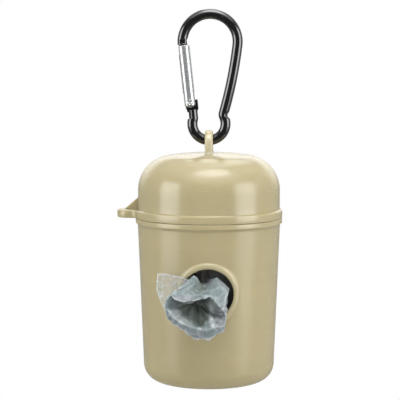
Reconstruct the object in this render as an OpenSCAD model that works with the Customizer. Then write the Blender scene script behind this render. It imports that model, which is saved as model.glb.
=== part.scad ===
// Waste bag dispenser: a tapered canister with a domed press-on lid, hung by the lid's loop on a snap hook.
// Origin: the hang point, inside the top of the hook's bow. +X right, +Y to the back, +Z up. Millimetres.
// The hook lies in the XZ plane. The canister's axis is the Z axis, and its round hole faces -Y.

/* [Hook] */
// Overall height of the hook
hook_height = 50; // [46:1:58]
// Diameter of the bent rod
rod_d = 3.75; // [3.2:0.05:4.2]
// Centreline radius of the big bow at the top
bow_r = 10.1; // [9.6:0.1:11]
// How far the bow's centre lies to the right of the small bend's
bow_shift = 0.4; // [0:0.1:0.8]
// How far the bow runs below its centre on the gate's side, in degrees
bow_end = 6; // [3:1:9]
// Centreline radius of the small bend that carries the canister
bend_r = 6.1; // [5.8:0.1:6.6]
// Centreline radius of the reverse bends that draw in the waist
waist_r = 3; // [2.6:0.1:3.6]
// How far the small bend runs above its centre before the waist, in degrees
waist_angle = 24; // [18:1:28]
// Radius of the long back leg's slight bulge
back_leg_r = 160; // [120:10:300]

/* [Gate] */
// Diameter of the gate
gate_d = 4.3; // [4.1:0.1:4.6]
// Lean of the closed gate from upright, in degrees
gate_tilt = 6.2; // [5:0.2:7]
// Height of the rivet above the small bend's centre
rivet_rise = 7.8; // [7.4:0.1:8.4]
// How far the gate can swing inwards, in degrees
gate_swing = 40; // [30:1:42]
// Reach of the gate's rounded foot below the rivet
gate_foot = 2.15; // [2:0.05:2.3]
// Radius of the foot's dome
gate_foot_r = 2.6; // [2.4:0.1:3]
// Chamfer round the gate's top edge
gate_top_chamfer = 0.3; // [0.1:0.1:0.5]
// Height of the fork's slot above the rivet
fork_top = 3.4; // [3.3:0.1:4]
// Shank diameter of the rivet
rivet_d = 1.4; // [1.2:0.1:1.6]
// Diameter of the rivet's heads
rivet_head_d = 2.2; // [2:0.1:2.4]
// Height of each head over its spot face
rivet_head_h = 0.35; // [0.2:0.05:0.5]
// Depth of the spot faces in the gate's sides
spot_depth = 0.3; // [0.2:0.05:0.4]

/* [Nose and lug] */
// How far the gate's axis lies inside the bow's end
nose_in = 0.3; // [0:0.1:0.5]
// Gap between the gate's top and the nose's end
nose_gap = 0.3; // [0.25:0.05:0.5]
// Half width of the nose where its inner side is cut back
nose_half = 1.35; // [1.1:0.05:1.5]
// Height of that cut before it slopes out to the rod
nose_cut_h = 1.5; // [1:0.1:2]
// Depth of the pressed flats on the nose's two faces
nose_flat_depth = 0.25; // [0.1:0.05:0.4]
// Length of the pressed flats
nose_flat_len = 1.6; // [1:0.1:2]
// Thickness of the tongue that the gate closes on
tongue_t = 1.6; // [1.2:0.1:1.8]
// Length of the tongue below the nose's end
tongue_len = 2.6; // [2:0.1:3]
// Thickness of the flattened lug in the gate's fork
lug_t = 1.5; // [1.2:0.1:1.7]
// Radius of the lug round the rivet
lug_r = 1.55; // [1.4:0.05:1.6]
// Inner edge of the lug from the gate's axis, where it stands past the gate
spur_out = 2.95; // [2.6:0.05:3.1]
// Top of that edge above the rivet
spur_top = 0.9; // [0.5:0.1:1.1]
// How far the neck's axis lies inside the gate's
neck_in = 0.6; // [0.4:0.1:0.8]
// Drop from the rivet to the shoulder where the round neck ends
neck_drop = 2.8; // [2.7:0.05:3.2]

/* [Gate spring] */
// Diameter of the bore in the gate
bore_d = 2.1; // [1.9:0.05:2.3]
// Depth of the bore above the fork's slot
bore_depth = 9; // [7:0.5:14]
// Nose diameter of the plunger
plunger_tip_d = 1.6; // [1.3:0.1:1.7]
// Height of the plunger's nose up to its collar
plunger_nose_h = 2.4; // [2.2:0.1:2.8]
// Length of the plunger's collar
plunger_collar_h = 1.2; // [0.8:0.1:2]
// Wire diameter of the gate's spring
wire_d = 0.3; // [0.2:0.02:0.32]
// Number of curls in the gate's spring
curls = 8; // [6:1:9]

/* [Lid] */
// Outer diameter of the lid's wall
lid_d = 52.4; // [50:0.5:54]
// Height of the lid from its seam to the top of the dome
lid_h = 24; // [21:0.5:30]
// Radius of the dome's gentle crown
crown_r = 105; // [70:5:200]
// Radius of the dome's shoulder
shoulder_r = 12.8; // [9:0.2:15]
// Wall thickness of the lid
lid_wall = 1.6; // [1.2:0.1:2]
// Height of the lid's flange
flange_h = 3; // [2.4:0.1:4]
// How far the flange and the collar stand out of the lid's wall
flange_out = 0.9; // [0.6:0.1:1.4]
// Depth of the plug skirt below the seam
skirt_depth = 4.5; // [3.5:0.1:6]
// Thickness of the plug skirt
skirt_wall = 1.4; // [1:0.1:1.8]
// How far the snap bead stands out of the skirt
bead_out = 0.06; // [0.02:0.01:0.08]

/* [Tab] */
// Reach of the tab past the flange
tab_out = 6.8; // [5:0.2:10]
// Width of the tab
tab_w = 9; // [7:0.5:12]
// Radius of the fillets where the tab leaves the flange
tab_fillet = 3; // [1.5:0.5:4]
// Height of the gusset over the tab
gusset_h = 4.2; // [2:0.2:8]
// Length of the gusset along the tab
gusset_len = 4.8; // [3:0.2:6]
// Thickness of the gusset
gusset_t = 1.6; // [1.2:0.1:2.4]

/* [Loop] */
// Width of the loop across the hook's rod
loop_w = 2.95; // [2.4:0.05:3.4]
// Thickness of the loop's bar
loop_t = 1.8; // [1.4:0.1:2.2]
// Radius of the loop's eye
eye_r = 3.8; // [3:0.1:4.5]
// Rounding of the loop's edges
loop_round = 0.8; // [0.5:0.05:0.85]
// Height from the middle of the rod to the top of the dome, below it
hang_drop = 4.5; // [4:0.1:6]

/* [Case] */
// Height of the case from its underside to the seam
case_h = 60.9; // [60:0.5:80]
// Outer diameter of the case at its top
case_top_d = 52.8; // [51:0.1:54]
// Outer diameter of the case at its base, before the rounding
case_base_d = 47.9; // [46.5:0.1:50]
// Rounding round the base
base_round = 6.6; // [4:0.2:8]
// Wall thickness of the case
case_wall = 1.6; // [1.2:0.1:1.8]
// Thickness of the floor
floor_t = 1.8; // [1.4:0.1:3]
// Height of the collar below the seam
collar_h = 2.1; // [1.6:0.1:3]
// Chamfer under the collar and at the seam's two edges
collar_chamfer = 0.5; // [0.2:0.1:0.8]
// Chamfer of the two edges that form the line at the seam
seam_chamfer = 0.25; // [0.1:0.05:0.5]
// Radius of the shallow recess in the underside
recess_r = 11; // [6:1:14]
// Depth of that recess
recess_depth = 0.4; // [0.2:0.1:0.6]

/* [Dispensing hole] */
// Radius of the dispensing hole
hole_r = 9.2; // [8:0.1:10]
// Height of the hole's centre above the underside
hole_rise = 35.7; // [28:0.1:42]
// Width of the raised rim round the hole
rim_w = 2.2; // [1.6:0.1:3]
// How far the rim stands out of the wall
rim_out = 0.9; // [0.4:0.1:1.4]

/* [Refill roll] */
// Diameter of the full roll of bags
roll_d = 35; // [26:0.5:35]
// Width of the bags' web, which is the height of the standing roll
roll_h = 58; // [50:0.5:58]
// Outer diameter of the cardboard core
core_d = 15; // [12:0.5:20]
// Wall thickness of the core
core_wall = 0.9; // [0.6:0.1:1.5]

/* [Pulled-out bag] */
// Radius of the gathered neck where it passes the hole
bag_neck_r = 4.8; // [3.5:0.1:5]
// Neck's distance to the left of the hole's centre
bag_neck_left = 2.6; // [2:0.1:3.2]
// Neck's distance below the hole's centre
bag_neck_down = 1.8; // [1:0.1:2.4]
// How far the open bag stands out of the rim
bag_reach = 11.6; // [10:0.2:16]
// Width of the open bag
bag_mouth_w = 22; // [18:0.5:24]
// Height of the open bag
bag_mouth_h = 16.6; // [13:0.2:18]
// How far the open bag flops to the left of the hole's centre
bag_flop = 4; // [2:0.1:6]
// How far the open bag sags below the hole's centre
bag_sag = 6; // [4:0.2:8]
// Depth of the hollow in the open bag
bag_hollow = 8.4; // [6:0.2:9]

/* [Fits] */
// Radial clearance of the rivet in the lug
pivot_fit = 0.05; // [0.02:0.01:0.1]
// Clearance on each side of the lug and of the tongue
fork_fit = 0.15; // [0.1:0.01:0.25]
// Radial clearance of the plunger in its bore
plunger_fit = 0.05; // [0.03:0.01:0.1]
// Clearance between the plunger's nose and the lug
lug_fit = 0.14; // [0.12:0.01:0.2]
// Radial clearance of the skirt in the case's mouth
mouth_fit = 0.1; // [0.08:0.01:0.15]
// Gap at the seam between the flange and the collar
seam_gap = 0.1; // [0.05:0.05:0.3]
// Clearance between the hook's rod and the top of the eye
hang_fit = 0.15; // [0.12:0.01:0.3]
// Gap under the roll, and between the roll and the pulled-out bag
loose_fit = 0.3; // [0.2:0.05:0.5]
// Gap of parts that are pressed or wound together
press_gap = 0.01; // [0.005:0.005:0.02]

/* [Hidden] */
$fn = 96;
// Overshoot of cuts past the faces that they open
over = 1;

rod_r = rod_d / 2;
gate_r = gate_d / 2;

// The hook's centreline is a chain of tangent arcs in the XZ plane, as [x, z] pairs.
function polar(r, a) = [r * cos(a), r * sin(a)];
function angle_of(v) = atan2(v.y, v.x);
// The point at ra from a and at rb from b, to the left of the line from a to b
function meet(a, ra, b, rb) =
    let (d = norm(b - a), u = (b - a) / d, s = (ra * ra - rb * rb + d * d) / (2 * d))
    a + s * u + sqrt(ra * ra - s * s) * [-u.y, u.x];

bow_c = [bow_shift, rod_r - bow_r];
bend_c = [0, rod_d - hook_height + rod_r + bend_r];
waist_c = bend_c + polar(bend_r + waist_r, waist_angle);
back_leg_c = meet(waist_c, back_leg_r + waist_r, bow_c, back_leg_r - bow_r);
rod_bottom_z = bend_c.y - bend_r;

// The gate's own frame: its origin at the rivet, its third axis up along the gate
gate_side = [cos(gate_tilt), sin(gate_tilt)];
gate_up = [-sin(gate_tilt), cos(gate_tilt)];
nose_c = bow_c + polar(bow_r, 180 + bow_end) + nose_in * gate_side;
gate_reach = (nose_c.y - bend_c.y - rivet_rise) / gate_up.y;
rivet_c = nose_c - gate_reach * gate_up;
gate_top = gate_reach - nose_gap;

// The neck below the rivet leaves the small bend through its own reverse bend.
neck_angle = acos(((bend_c - rivet_c) * gate_side + waist_r - neck_in) / (bend_r + waist_r)) - gate_tilt;
neck_c = bend_c + polar(bend_r + waist_r, 180 - neck_angle);
neck_start = (neck_c + waist_r * gate_side - rivet_c) * gate_up;

// Plunger and spring, as heights above the rivet in the gate's frame
bore_top = fork_top + bore_depth;
plunger_z = lug_r + lug_fit;
collar_z = plunger_z + plunger_nose_h;
spring_z = collar_z + plunger_collar_h + press_gap;
spring_len = bore_top - spring_z - press_gap;
spring_r = bore_d / 2 - plunger_fit - wire_d / 2;

// The canister's levels
apex_z = rod_bottom_z - hang_drop;
seam_z = apex_z - lid_h;
base_z = seam_z - case_h;
floor_z = base_z + floor_t;
hole_z = base_z + hole_rise;

// The dome: a shallow crown and a round shoulder, tangent along one line through both centres
lid_r = lid_d / 2;
flange_r = lid_r + flange_out;
shoulder_x = lid_r - shoulder_r;
crown_angle = asin(shoulder_x / (crown_r - shoulder_r));
shoulder_z = apex_z - crown_r + (crown_r - shoulder_r) * cos(crown_angle);
eye_z = rod_bottom_z + rod_r + hang_fit - eye_r;

// The case's taper, and the mouth that takes the lid's skirt
case_top_r = case_top_d / 2;
case_base_r = case_base_d / 2;
taper = atan((case_top_r - case_base_r) / case_h);
function case_r(z) = case_base_r + (z - base_z) * tan(taper);
mouth_r = case_r(seam_z) - case_wall / cos(taper) - 0.05;
mouth_depth = skirt_depth + 1;
skirt_r = mouth_r - mouth_fit;
bead_z = seam_z - skirt_depth * 0.6;
bead_h = 1;

roll_z = floor_z + loose_fit;
wall_y = -case_r(hole_z);
rim_y = wall_y - rim_out;

// Places a child from the gate's frame into the part's
module at_gate() {
    translate([rivet_c.x, 0, rivet_c.y]) rotate([0, -gate_tilt, 0]) children();
}

// Extrudes an outline drawn in the XZ plane to the thickness t, centred on that plane
module upright(t) {
    rotate([90, 0, 0]) linear_extrude(height = t, center = true) children();
}

// One arc of the hook's rod round the centre c, from one angle to another
module rod_arc(c, r, from, to) {
    translate([c.x, 0, c.y])
        rotate([90, 0, 0])
            rotate([0, 0, from])
                rotate_extrude(angle = to - from) translate([r, 0]) circle(r = rod_r);
}

// A ball, a hair proud, that welds two arcs into one solid where they meet, at the angle a round the centre c
module rod_weld(c, r, a) {
    joint = c + polar(r, a);
    proud = 0.01;
    translate([joint.x, 0, joint.y]) sphere(r = rod_r + proud);
}

// The lug's outline in the gate's frame: neck, round end and spur. The round end goes on past the place where
// the plunger stands with the gate open.
module lug_outline() {
    neck_half = rod_r - 0.1;
    round_end = gate_swing + 20;
    polygon(concat(
        [[neck_in - neck_half, -neck_drop - over], [-lug_r - 0.2, -neck_drop * 0.55]],
        [for (a = [-90:6:round_end]) lug_r * [sin(a), cos(a)]],
        [[spur_out - 0.25, spur_top], [spur_out, spur_top - 0.4], [spur_out, -neck_drop + 0.2],
         [neck_in + neck_half, -neck_drop - over]]
    ));
}

// The nose's cut inner side, in the gate's frame
module nose_cut_outline() {
    slope = rod_d;
    polygon([[nose_half, gate_reach - over], [nose_half, gate_reach + nose_cut_h],
             [nose_half + slope, gate_reach + nose_cut_h + 1.4 * slope], [nose_half + slope, gate_reach - over]]);
}

module carabiner_frame() {
    leg_top = angle_of(bow_c - back_leg_c);
    leg_foot = angle_of(waist_c - back_leg_c);
    // Enough past the nose's end for the flat cut across it
    nose_run = bow_end + 14;
    color("#1c1c1e") difference() {
        union() {
            difference() {
                rod_arc(bow_c, bow_r, leg_top, 180 + nose_run);
                // The end face, square to the gate
                at_gate() translate([-rod_d, -rod_d, gate_reach - rod_d]) cube([2 * rod_d, 2 * rod_d, rod_d]);
                at_gate() upright(2 * rod_d) nose_cut_outline();
                for (side = [-1, 1])
                    at_gate()
                        translate([-rod_d / 2, side > 0 ? rod_r - nose_flat_depth : -rod_d - rod_r + nose_flat_depth,
                                   gate_reach + 0.3])
                            cube([rod_d, rod_d, nose_flat_len]);
            }
            rod_arc(back_leg_c, back_leg_r, leg_foot, leg_top);
            rod_arc(waist_c, waist_r, 180 + leg_foot, 180 + waist_angle);
            rod_arc(bend_c, bend_r, 180 - neck_angle, 360 + waist_angle);
            rod_arc(neck_c, waist_r, -neck_angle, gate_tilt);
            rod_weld(back_leg_c, back_leg_r, leg_top);
            rod_weld(back_leg_c, back_leg_r, leg_foot);
            rod_weld(waist_c, waist_r, 180 + waist_angle);
            rod_weld(neck_c, waist_r, -neck_angle);
            rod_weld(neck_c, waist_r, gate_tilt);
            at_gate()
                translate([neck_in, 0, neck_start]) cylinder(r = rod_r, h = -neck_drop - neck_start);
            at_gate() upright(lug_t) lug_outline();
            // The tongue, thinner than the rod, with its lower corners cut off
            at_gate() upright(tongue_t)
                polygon([[-rod_r + 0.15, gate_reach + over], [-rod_r + 0.15, gate_reach - tongue_len + 0.6],
                         [-rod_r + 0.7, gate_reach - tongue_len], [nose_half - 0.5, gate_reach - tongue_len],
                         [nose_half, gate_reach - tongue_len + 0.6], [nose_half, gate_reach + over]]);
        }
        at_gate() rotate([90, 0, 0]) cylinder(r = rivet_d / 2 + pivot_fit, h = rod_d, center = true);
    }
}

module carabiner_gate() {
    nose_slot = tongue_len + 0.8;
    slot_t = tongue_t + 2 * fork_fit;
    fork_t = lug_t + 2 * fork_fit;
    color("#d9dade") at_gate() difference() {
        intersection() {
            rotate_extrude() polygon([[0, -gate_foot - over], [gate_r, -gate_foot - over],
                                      [gate_r, gate_top - gate_top_chamfer],
                                      [gate_r - gate_top_chamfer, gate_top], [0, gate_top]]);
            union() {
                translate([0, 0, gate_foot_r - gate_foot]) sphere(r = gate_foot_r);
                translate([0, 0, gate_foot_r - gate_foot]) cylinder(r = gate_d, h = gate_top);
            }
        }
        // The fork astride the lug
        translate([-gate_d, -fork_t / 2, -gate_foot - over])
            cube([2 * gate_d, fork_t, gate_foot + over + fork_top]);
        // The bore for plunger and spring, drilled from the foot
        cylinder(r = bore_d / 2, h = bore_top);
        // The nose's slot, open to the outside and closed on the inner wall
        translate([-gate_d, -slot_t / 2, gate_top - nose_slot])
            cube([gate_d + nose_half + fork_fit, slot_t, nose_slot + over]);
        rotate([90, 0, 0]) cylinder(r = rivet_d / 2 + press_gap, h = 2 * gate_d, center = true);
        for (side = [-1, 1])
            translate([0, side * (gate_r - spot_depth + gate_r / 2), 0])
                rotate([90, 0, 0]) cylinder(r = rivet_head_d / 2 + 0.1, h = gate_r, center = true);
    }
}

module gate_rivet() {
    seat = gate_r - spot_depth + press_gap;
    dimple = 0.12;
    color("#c4c6ca") at_gate() rotate([90, 0, 0]) {
        cylinder(r = rivet_d / 2, h = 2 * seat, center = true);
        for (side = [0, 1])
            mirror([0, 0, side])
                translate([0, 0, seat])
                    rotate_extrude() polygon([[0, -0.1], [rivet_d / 2 - 0.1, -0.1], [rivet_d / 2 - 0.1, 0],
                                              [rivet_head_d / 2, 0], [rivet_head_d / 2, rivet_head_h * 0.5],
                                              [rivet_head_d / 2 - 0.3, rivet_head_h],
                                              [rivet_d / 2 - 0.2, rivet_head_h],
                                              [rivet_d / 2 - 0.4, rivet_head_h - dimple],
                                              [0, rivet_head_h - dimple]]);
    }
}

module gate_plunger() {
    tip_r = plunger_tip_d / 2;
    color("#8f9298") at_gate() {
        translate([0, 0, plunger_z + tip_r]) {
            sphere(r = tip_r);
            cylinder(r = tip_r, h = plunger_nose_h - tip_r + 0.1);
        }
        translate([0, 0, collar_z]) cylinder(r = bore_d / 2 - plunger_fit, h = plunger_collar_h);
    }
}

// The gate's spring: one unbroken tube, 8 rings a curl and 6 sides
rings_per_curl = 8;
wire_sides = 6;
function coil_point(t) = [spring_r * cos(360 * t * curls), spring_r * sin(360 * t * curls),
                          spring_z + wire_d / 2 + t * (spring_len - wire_d)];
coil_count = curls * rings_per_curl;
coil_path = [for (i = [0:coil_count]) coil_point(i / coil_count)];
coil_gap = min([for (i = [0:coil_count - rings_per_curl])
                norm(coil_path[i + rings_per_curl] - coil_path[i])]) - wire_d;
echo(spring_gap_mm = coil_gap);

// Ring of a tube round the path's point i, in the plane of the axis and the radius there
function wire_ring(i) =
    let (a = 360 * i / rings_per_curl, p = coil_path[i])
    [for (k = [0:wire_sides - 1])
        let (b = 360 * k / wire_sides, q = wire_d / 2 * cos(b))
        p + [q * cos(a), q * sin(a), wire_d / 2 * sin(b)]];

// Triangles between rings of n points each: sides, and a flat fan at both ends
function tube_faces(rings, n) = concat(
    [for (i = [0:rings - 2], k = [0:n - 1])
        [i * n + k, i * n + (k + 1) % n, (i + 1) * n + (k + 1) % n]],
    [for (i = [0:rings - 2], k = [0:n - 1])
        [i * n + k, (i + 1) * n + (k + 1) % n, (i + 1) * n + k]],
    [for (k = [1:n - 2]) [0, k + 1, k]],
    [for (k = [1:n - 2]) [(rings - 1) * n, (rings - 1) * n + k, (rings - 1) * n + k + 1]]
);

module gate_spring() {
    color("#b8bbc0") at_gate()
        polyhedron(points = [for (i = [0:coil_count]) each wire_ring(i)],
                   faces = tube_faces(coil_count + 1, wire_sides));
}

// Half section of the dome, moved in by a wall's thickness
module dome_section(inset) {
    ray = [sin(crown_angle), cos(crown_angle)];
    far = 2 * shoulder_r;
    intersection() {
        translate([0, apex_z - crown_r]) circle(r = crown_r - inset);
        polygon([[0, shoulder_z], [shoulder_x, shoulder_z], [shoulder_x, shoulder_z] + far * ray,
                 [0, shoulder_z + far]]);
    }
    intersection() {
        translate([shoulder_x, shoulder_z]) circle(r = shoulder_r - inset);
        translate([0, shoulder_z]) square([2 * lid_r, far]);
    }
    translate([0, seam_z]) square([lid_r - inset, shoulder_z - seam_z]);
}

// Half section of the lid: dome, flange, and the plug skirt with its snap bead
module lid_section() {
    skirt_in = skirt_r - skirt_wall;
    lead = 0.5;
    difference() {
        union() {
            dome_section(0);
            polygon([[0, seam_z], [flange_r - seam_chamfer, seam_z], [flange_r, seam_z + seam_chamfer],
                     [flange_r, seam_z + flange_h - 0.2], [flange_r - 0.2, seam_z + flange_h],
                     [0, seam_z + flange_h]]);
        }
        difference() {
            dome_section(lid_wall);
            // The wall thickens inwards to carry the skirt
            polygon([[skirt_in, seam_z - over], [lid_r, seam_z - over],
                     [lid_r, seam_z + flange_h + 2.5], [skirt_in, seam_z + flange_h]]);
        }
    }
    polygon([[skirt_in, seam_z + 0.5], [skirt_in, seam_z - skirt_depth],
             [skirt_r - lead, seam_z - skirt_depth], [skirt_r, seam_z - skirt_depth + lead],
             [skirt_r, bead_z - bead_h / 2], [skirt_r + bead_out, bead_z - bead_h / 6],
             [skirt_r + bead_out, bead_z + bead_h / 6], [skirt_r, bead_z + bead_h / 2],
             [skirt_r, seam_z + 0.5]]);
}

// Plan of the tab: a round-ended tongue with fillets where it leaves the flange
module tab_plan() {
    half = tab_w / 2;
    tip_x = -flange_r - tab_out;
    fillet_y = half + tab_fillet;
    fillet_x = -sqrt(pow(flange_r + tab_fillet, 2) - fillet_y * fillet_y);
    touch = flange_r / (flange_r + tab_fillet);
    root_x = -lid_r + lid_wall / 2;
    translate([tip_x + half, 0]) circle(r = half);
    translate([tip_x + half, -half]) square([root_x - tip_x - half, tab_w]);
    for (side = [-1, 1])
        difference() {
            polygon([[fillet_x, 0], [fillet_x, side * fillet_y], [fillet_x, side * fillet_y] * touch, [root_x, 0]]);
            translate([fillet_x, side * fillet_y]) circle(r = tab_fillet);
        }
}

// Section of the loop's bar: a rectangle with round edges
module loop_bar() {
    flat_w = loop_w - 2 * loop_round;
    flat_t = loop_t - 2 * loop_round;
    square([flat_t, loop_w], center = true);
    square([loop_t, flat_w], center = true);
    for (x = [-1, 1], y = [-1, 1])
        translate([x * flat_t / 2, y * flat_w / 2]) circle(r = loop_round);
}

// The arch over the hook's rod, in the YZ plane, on two legs sunk halfway into the crown
module loop() {
    mid_r = eye_r + loop_t / 2;
    leg_foot = apex_z - lid_wall * 0.6;
    translate([0, 0, eye_z]) {
        rotate([90, 0, 90]) rotate_extrude(angle = 180) translate([mid_r, 0]) loop_bar();
        for (side = [-1, 1])
            translate([0, side * mid_r, leg_foot - eye_z])
                rotate([0, 0, 90]) linear_extrude(height = eye_z - leg_foot) loop_bar();
    }
}

module lid() {
    color("#b9ac84") {
        rotate_extrude() lid_section();
        translate([0, 0, seam_z]) linear_extrude(height = flange_h) tab_plan();
        root = lid_r - lid_wall / 2;
        tab_top = seam_z + flange_h;
        upright(gusset_t)
            polygon([[-root, tab_top - 0.5], [-flange_r - gusset_len + 0.8, tab_top - 0.5],
                     [-flange_r - gusset_len + 0.8, tab_top], [-lid_r, tab_top + gusset_h],
                     [-root, tab_top + gusset_h]]);
        loop();
    }
}

// Half section of the tapered cup's outside or inside, up to the seam
module cup_section(bottom_z, inset, corner) {
    bottom_r = case_r(bottom_z) - inset / cos(taper);
    corner_x = bottom_r + corner * (tan(taper) - 1 / cos(taper));
    corner_c = [corner_x, bottom_z + corner];
    polygon([[0, bottom_z], [corner_x, bottom_z], corner_c + polar(corner, -taper),
             [case_top_r - inset / cos(taper), seam_z], [0, seam_z]]);
    translate(corner_c) circle(r = corner);
}

// Raised rim round the dispensing hole: steps of a rounded edge that all follow the tapered wall
module rim() {
    steps = 4;
    edge = rim_out * 0.7;
    for (i = [1:steps]) {
        a = 90 * i / (steps + 0.5);
        intersection() {
            translate([0, 0, hole_z])
                rotate([90, 0, 0]) cylinder(r = hole_r + rim_w - edge * (1 - cos(a)), h = case_top_d);
            out = rim_out - edge * (1 - sin(a));
            translate([0, 0, base_z])
                cylinder(r1 = case_base_r + out / cos(taper), r2 = case_top_r + out / cos(taper), h = case_h);
        }
    }
}

module case() {
    color("#b3a67c") difference() {
        union() {
            rotate_extrude() {
                cup_section(base_z, 0, base_round);
                polygon([[0, seam_z - collar_h], [case_top_r - collar_chamfer, seam_z - collar_h - collar_chamfer],
                         [flange_r - collar_chamfer, seam_z - collar_h], [flange_r, seam_z - collar_h + collar_chamfer],
                         [flange_r, seam_z - seam_chamfer], [flange_r - seam_chamfer, seam_z], [0, seam_z]]);
            }
            rim();
        }
        rotate_extrude() {
            cup_section(floor_z, case_wall, base_round - case_wall);
            // The mouth: a true bore for the skirt, with a groove for the bead
            translate([0, seam_z - mouth_depth]) square([mouth_r, mouth_depth]);
            groove_r = mouth_r + 0.2;
            translate([0, bead_z - bead_h / 2]) square([groove_r, bead_h]);
        }
        // The seam's gap is taken from the case's top
        translate([0, 0, seam_z - seam_gap]) cylinder(r = lid_d, h = seam_gap + over);
        translate([0, 0, hole_z]) rotate([90, 0, 0]) cylinder(r = hole_r, h = case_top_d);
        translate([0, 0, base_z - over]) cylinder(r = recess_r, h = recess_depth + over);
    }
}

module roll_core() {
    color("#a5845c") translate([0, 0, roll_z]) difference() {
        cylinder(r = core_d / 2, h = roll_h);
        translate([0, 0, -over]) cylinder(r = core_d / 2 - core_wall, h = roll_h + 2 * over);
    }
}

module bag_roll() {
    edge = 0.6;
    color("#8b98a0") translate([0, 0, roll_z])
        rotate_extrude()
            polygon([[core_d / 2 + press_gap, 0], [roll_d / 2 - edge, 0], [roll_d / 2, edge],
                     [roll_d / 2, roll_h - edge], [roll_d / 2 - edge, roll_h], [core_d / 2 + press_gap, roll_h]]);
}

// The pulled-out bag: a gathered neck through the hole that opens into a floppy pouch. Its rings run from
// the roll out to the lip and back into the hollow.
bag_sides = 40;
neck_end_y = rim_y - 0.5;
bag_start = [-bag_neck_left, -roll_d / 2 - loose_fit, hole_z - bag_neck_down];

// A soft bump of height 1 at the angle at, w degrees wide, for the angle a
function bump(a, at, w) = let (d = (a - at + 540) % 360 - 180) exp(-d * d / (2 * w * w));

// Share of the pouch's round size at the angle a: two valleys between the ridges of the gathered film
function pleats(a) =
    1 + 0.24 * bump(a, 138, 14) - 0.25 * bump(a, 95, 17) + 0.1 * bump(a, 60, 12)
    + 0.1 * bump(a, 328, 16) - 0.2 * bump(a, 225, 17);

// One ring of the pouch: how far it stands out of the rim, how far its middle has flopped and sagged, as a
// share, and its width and height, as shares of the pouch's
function pouch_ring(out, sink, wide, high) =
    [for (k = [0:bag_sides - 1])
        let (a = 360 * k / bag_sides,
             size = pleats(a) / 2,
             bow = 0.2 * out * (1 - pow(sin(a), 2)))
        [bag_mouth_w * wide * size * cos(a) - bag_flop * sink, rim_y - out + bow,
         hole_z + bag_mouth_h * high * size * sin(a) - bag_sag * sink]];

function neck_ring(y) =
    [for (k = [0:bag_sides - 1])
        let (a = 360 * k / bag_sides)
        [bag_start.x + bag_neck_r * cos(a), y, bag_start.z + bag_neck_r * sin(a)]];

module bag_tail() {
    deep_out = bag_reach - bag_hollow;
    rings = [neck_ring(bag_start.y), neck_ring((bag_start.y + neck_end_y) / 2), neck_ring(neck_end_y),
             // From the rim out to the fold at the lip
             pouch_ring(1, 0.15, 0.7, 0.78),
             pouch_ring(bag_reach * 0.25, 0.35, 0.83, 0.92),
             pouch_ring(bag_reach * 0.48, 0.6, 0.93, 0.98),
             pouch_ring(bag_reach * 0.68, 0.85, 0.98, 1),
             pouch_ring(bag_reach * 0.87, 1, 1, 1),
             pouch_ring(bag_reach * 0.96, 0.95, 0.97, 0.88),
             pouch_ring(bag_reach, 0.88, 0.93, 0.72),
             // Back into the hollow
             pouch_ring(bag_reach - bag_hollow * 0.28, 0.82, 0.8, 0.56),
             pouch_ring(bag_reach - bag_hollow * 0.62, 0.76, 0.6, 0.44),
             pouch_ring(deep_out, 0.66, 0.34, 0.3)];
    color("#93a1aa")
        polyhedron(points = [for (ring = rings) each ring], faces = tube_faces(len(rings), bag_sides));
}

carabiner_frame();
carabiner_gate();
gate_rivet();
gate_plunger();
gate_spring();
lid();
case();
roll_core();
bag_roll();
bag_tail();
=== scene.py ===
"""Waste bag dispenser: khaki canister and domed lid on a black snap hook, a bag pulled out of its front."""

import logging
import math
from dataclasses import dataclass
from enum import Enum
from typing import Callable, Sequence

import bmesh
import bpy
from mathutils import Matrix, Vector, noise


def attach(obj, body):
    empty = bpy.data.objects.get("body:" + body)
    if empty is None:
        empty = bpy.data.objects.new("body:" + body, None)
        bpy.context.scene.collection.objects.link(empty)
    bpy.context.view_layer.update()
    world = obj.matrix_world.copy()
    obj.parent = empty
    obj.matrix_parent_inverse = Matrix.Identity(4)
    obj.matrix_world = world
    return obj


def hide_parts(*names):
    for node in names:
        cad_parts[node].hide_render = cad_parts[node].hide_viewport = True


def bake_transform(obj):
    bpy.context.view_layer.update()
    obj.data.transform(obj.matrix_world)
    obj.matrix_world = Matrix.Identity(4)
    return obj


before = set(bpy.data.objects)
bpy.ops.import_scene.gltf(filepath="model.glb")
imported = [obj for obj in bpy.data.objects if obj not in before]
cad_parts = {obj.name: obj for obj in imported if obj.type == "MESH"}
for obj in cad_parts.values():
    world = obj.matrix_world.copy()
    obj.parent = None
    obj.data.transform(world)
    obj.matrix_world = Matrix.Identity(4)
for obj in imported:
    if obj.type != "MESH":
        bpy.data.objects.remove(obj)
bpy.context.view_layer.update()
MM = 0.001
LOG = logging.getLogger("dispenser")
Pair = tuple[float, float]
Triple = tuple[float, float, float]
Net = Sequence[Sequence[Vector]]
Rings = Sequence[Sequence[int]]
Settings = dict[str, object]


# Shader building


def operator(operation: str, reflected: bool = False) -> Callable[["Value", "Value | float"], "Value"]:
    """A Python operator that adds one Math node, with its two sides swapped where it is reflected."""
    def apply(here: "Value", other: "Value | float") -> "Value":
        first, second = (other, here) if reflected else (here, other)
        return here.math(operation, first, second)
    return apply


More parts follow.
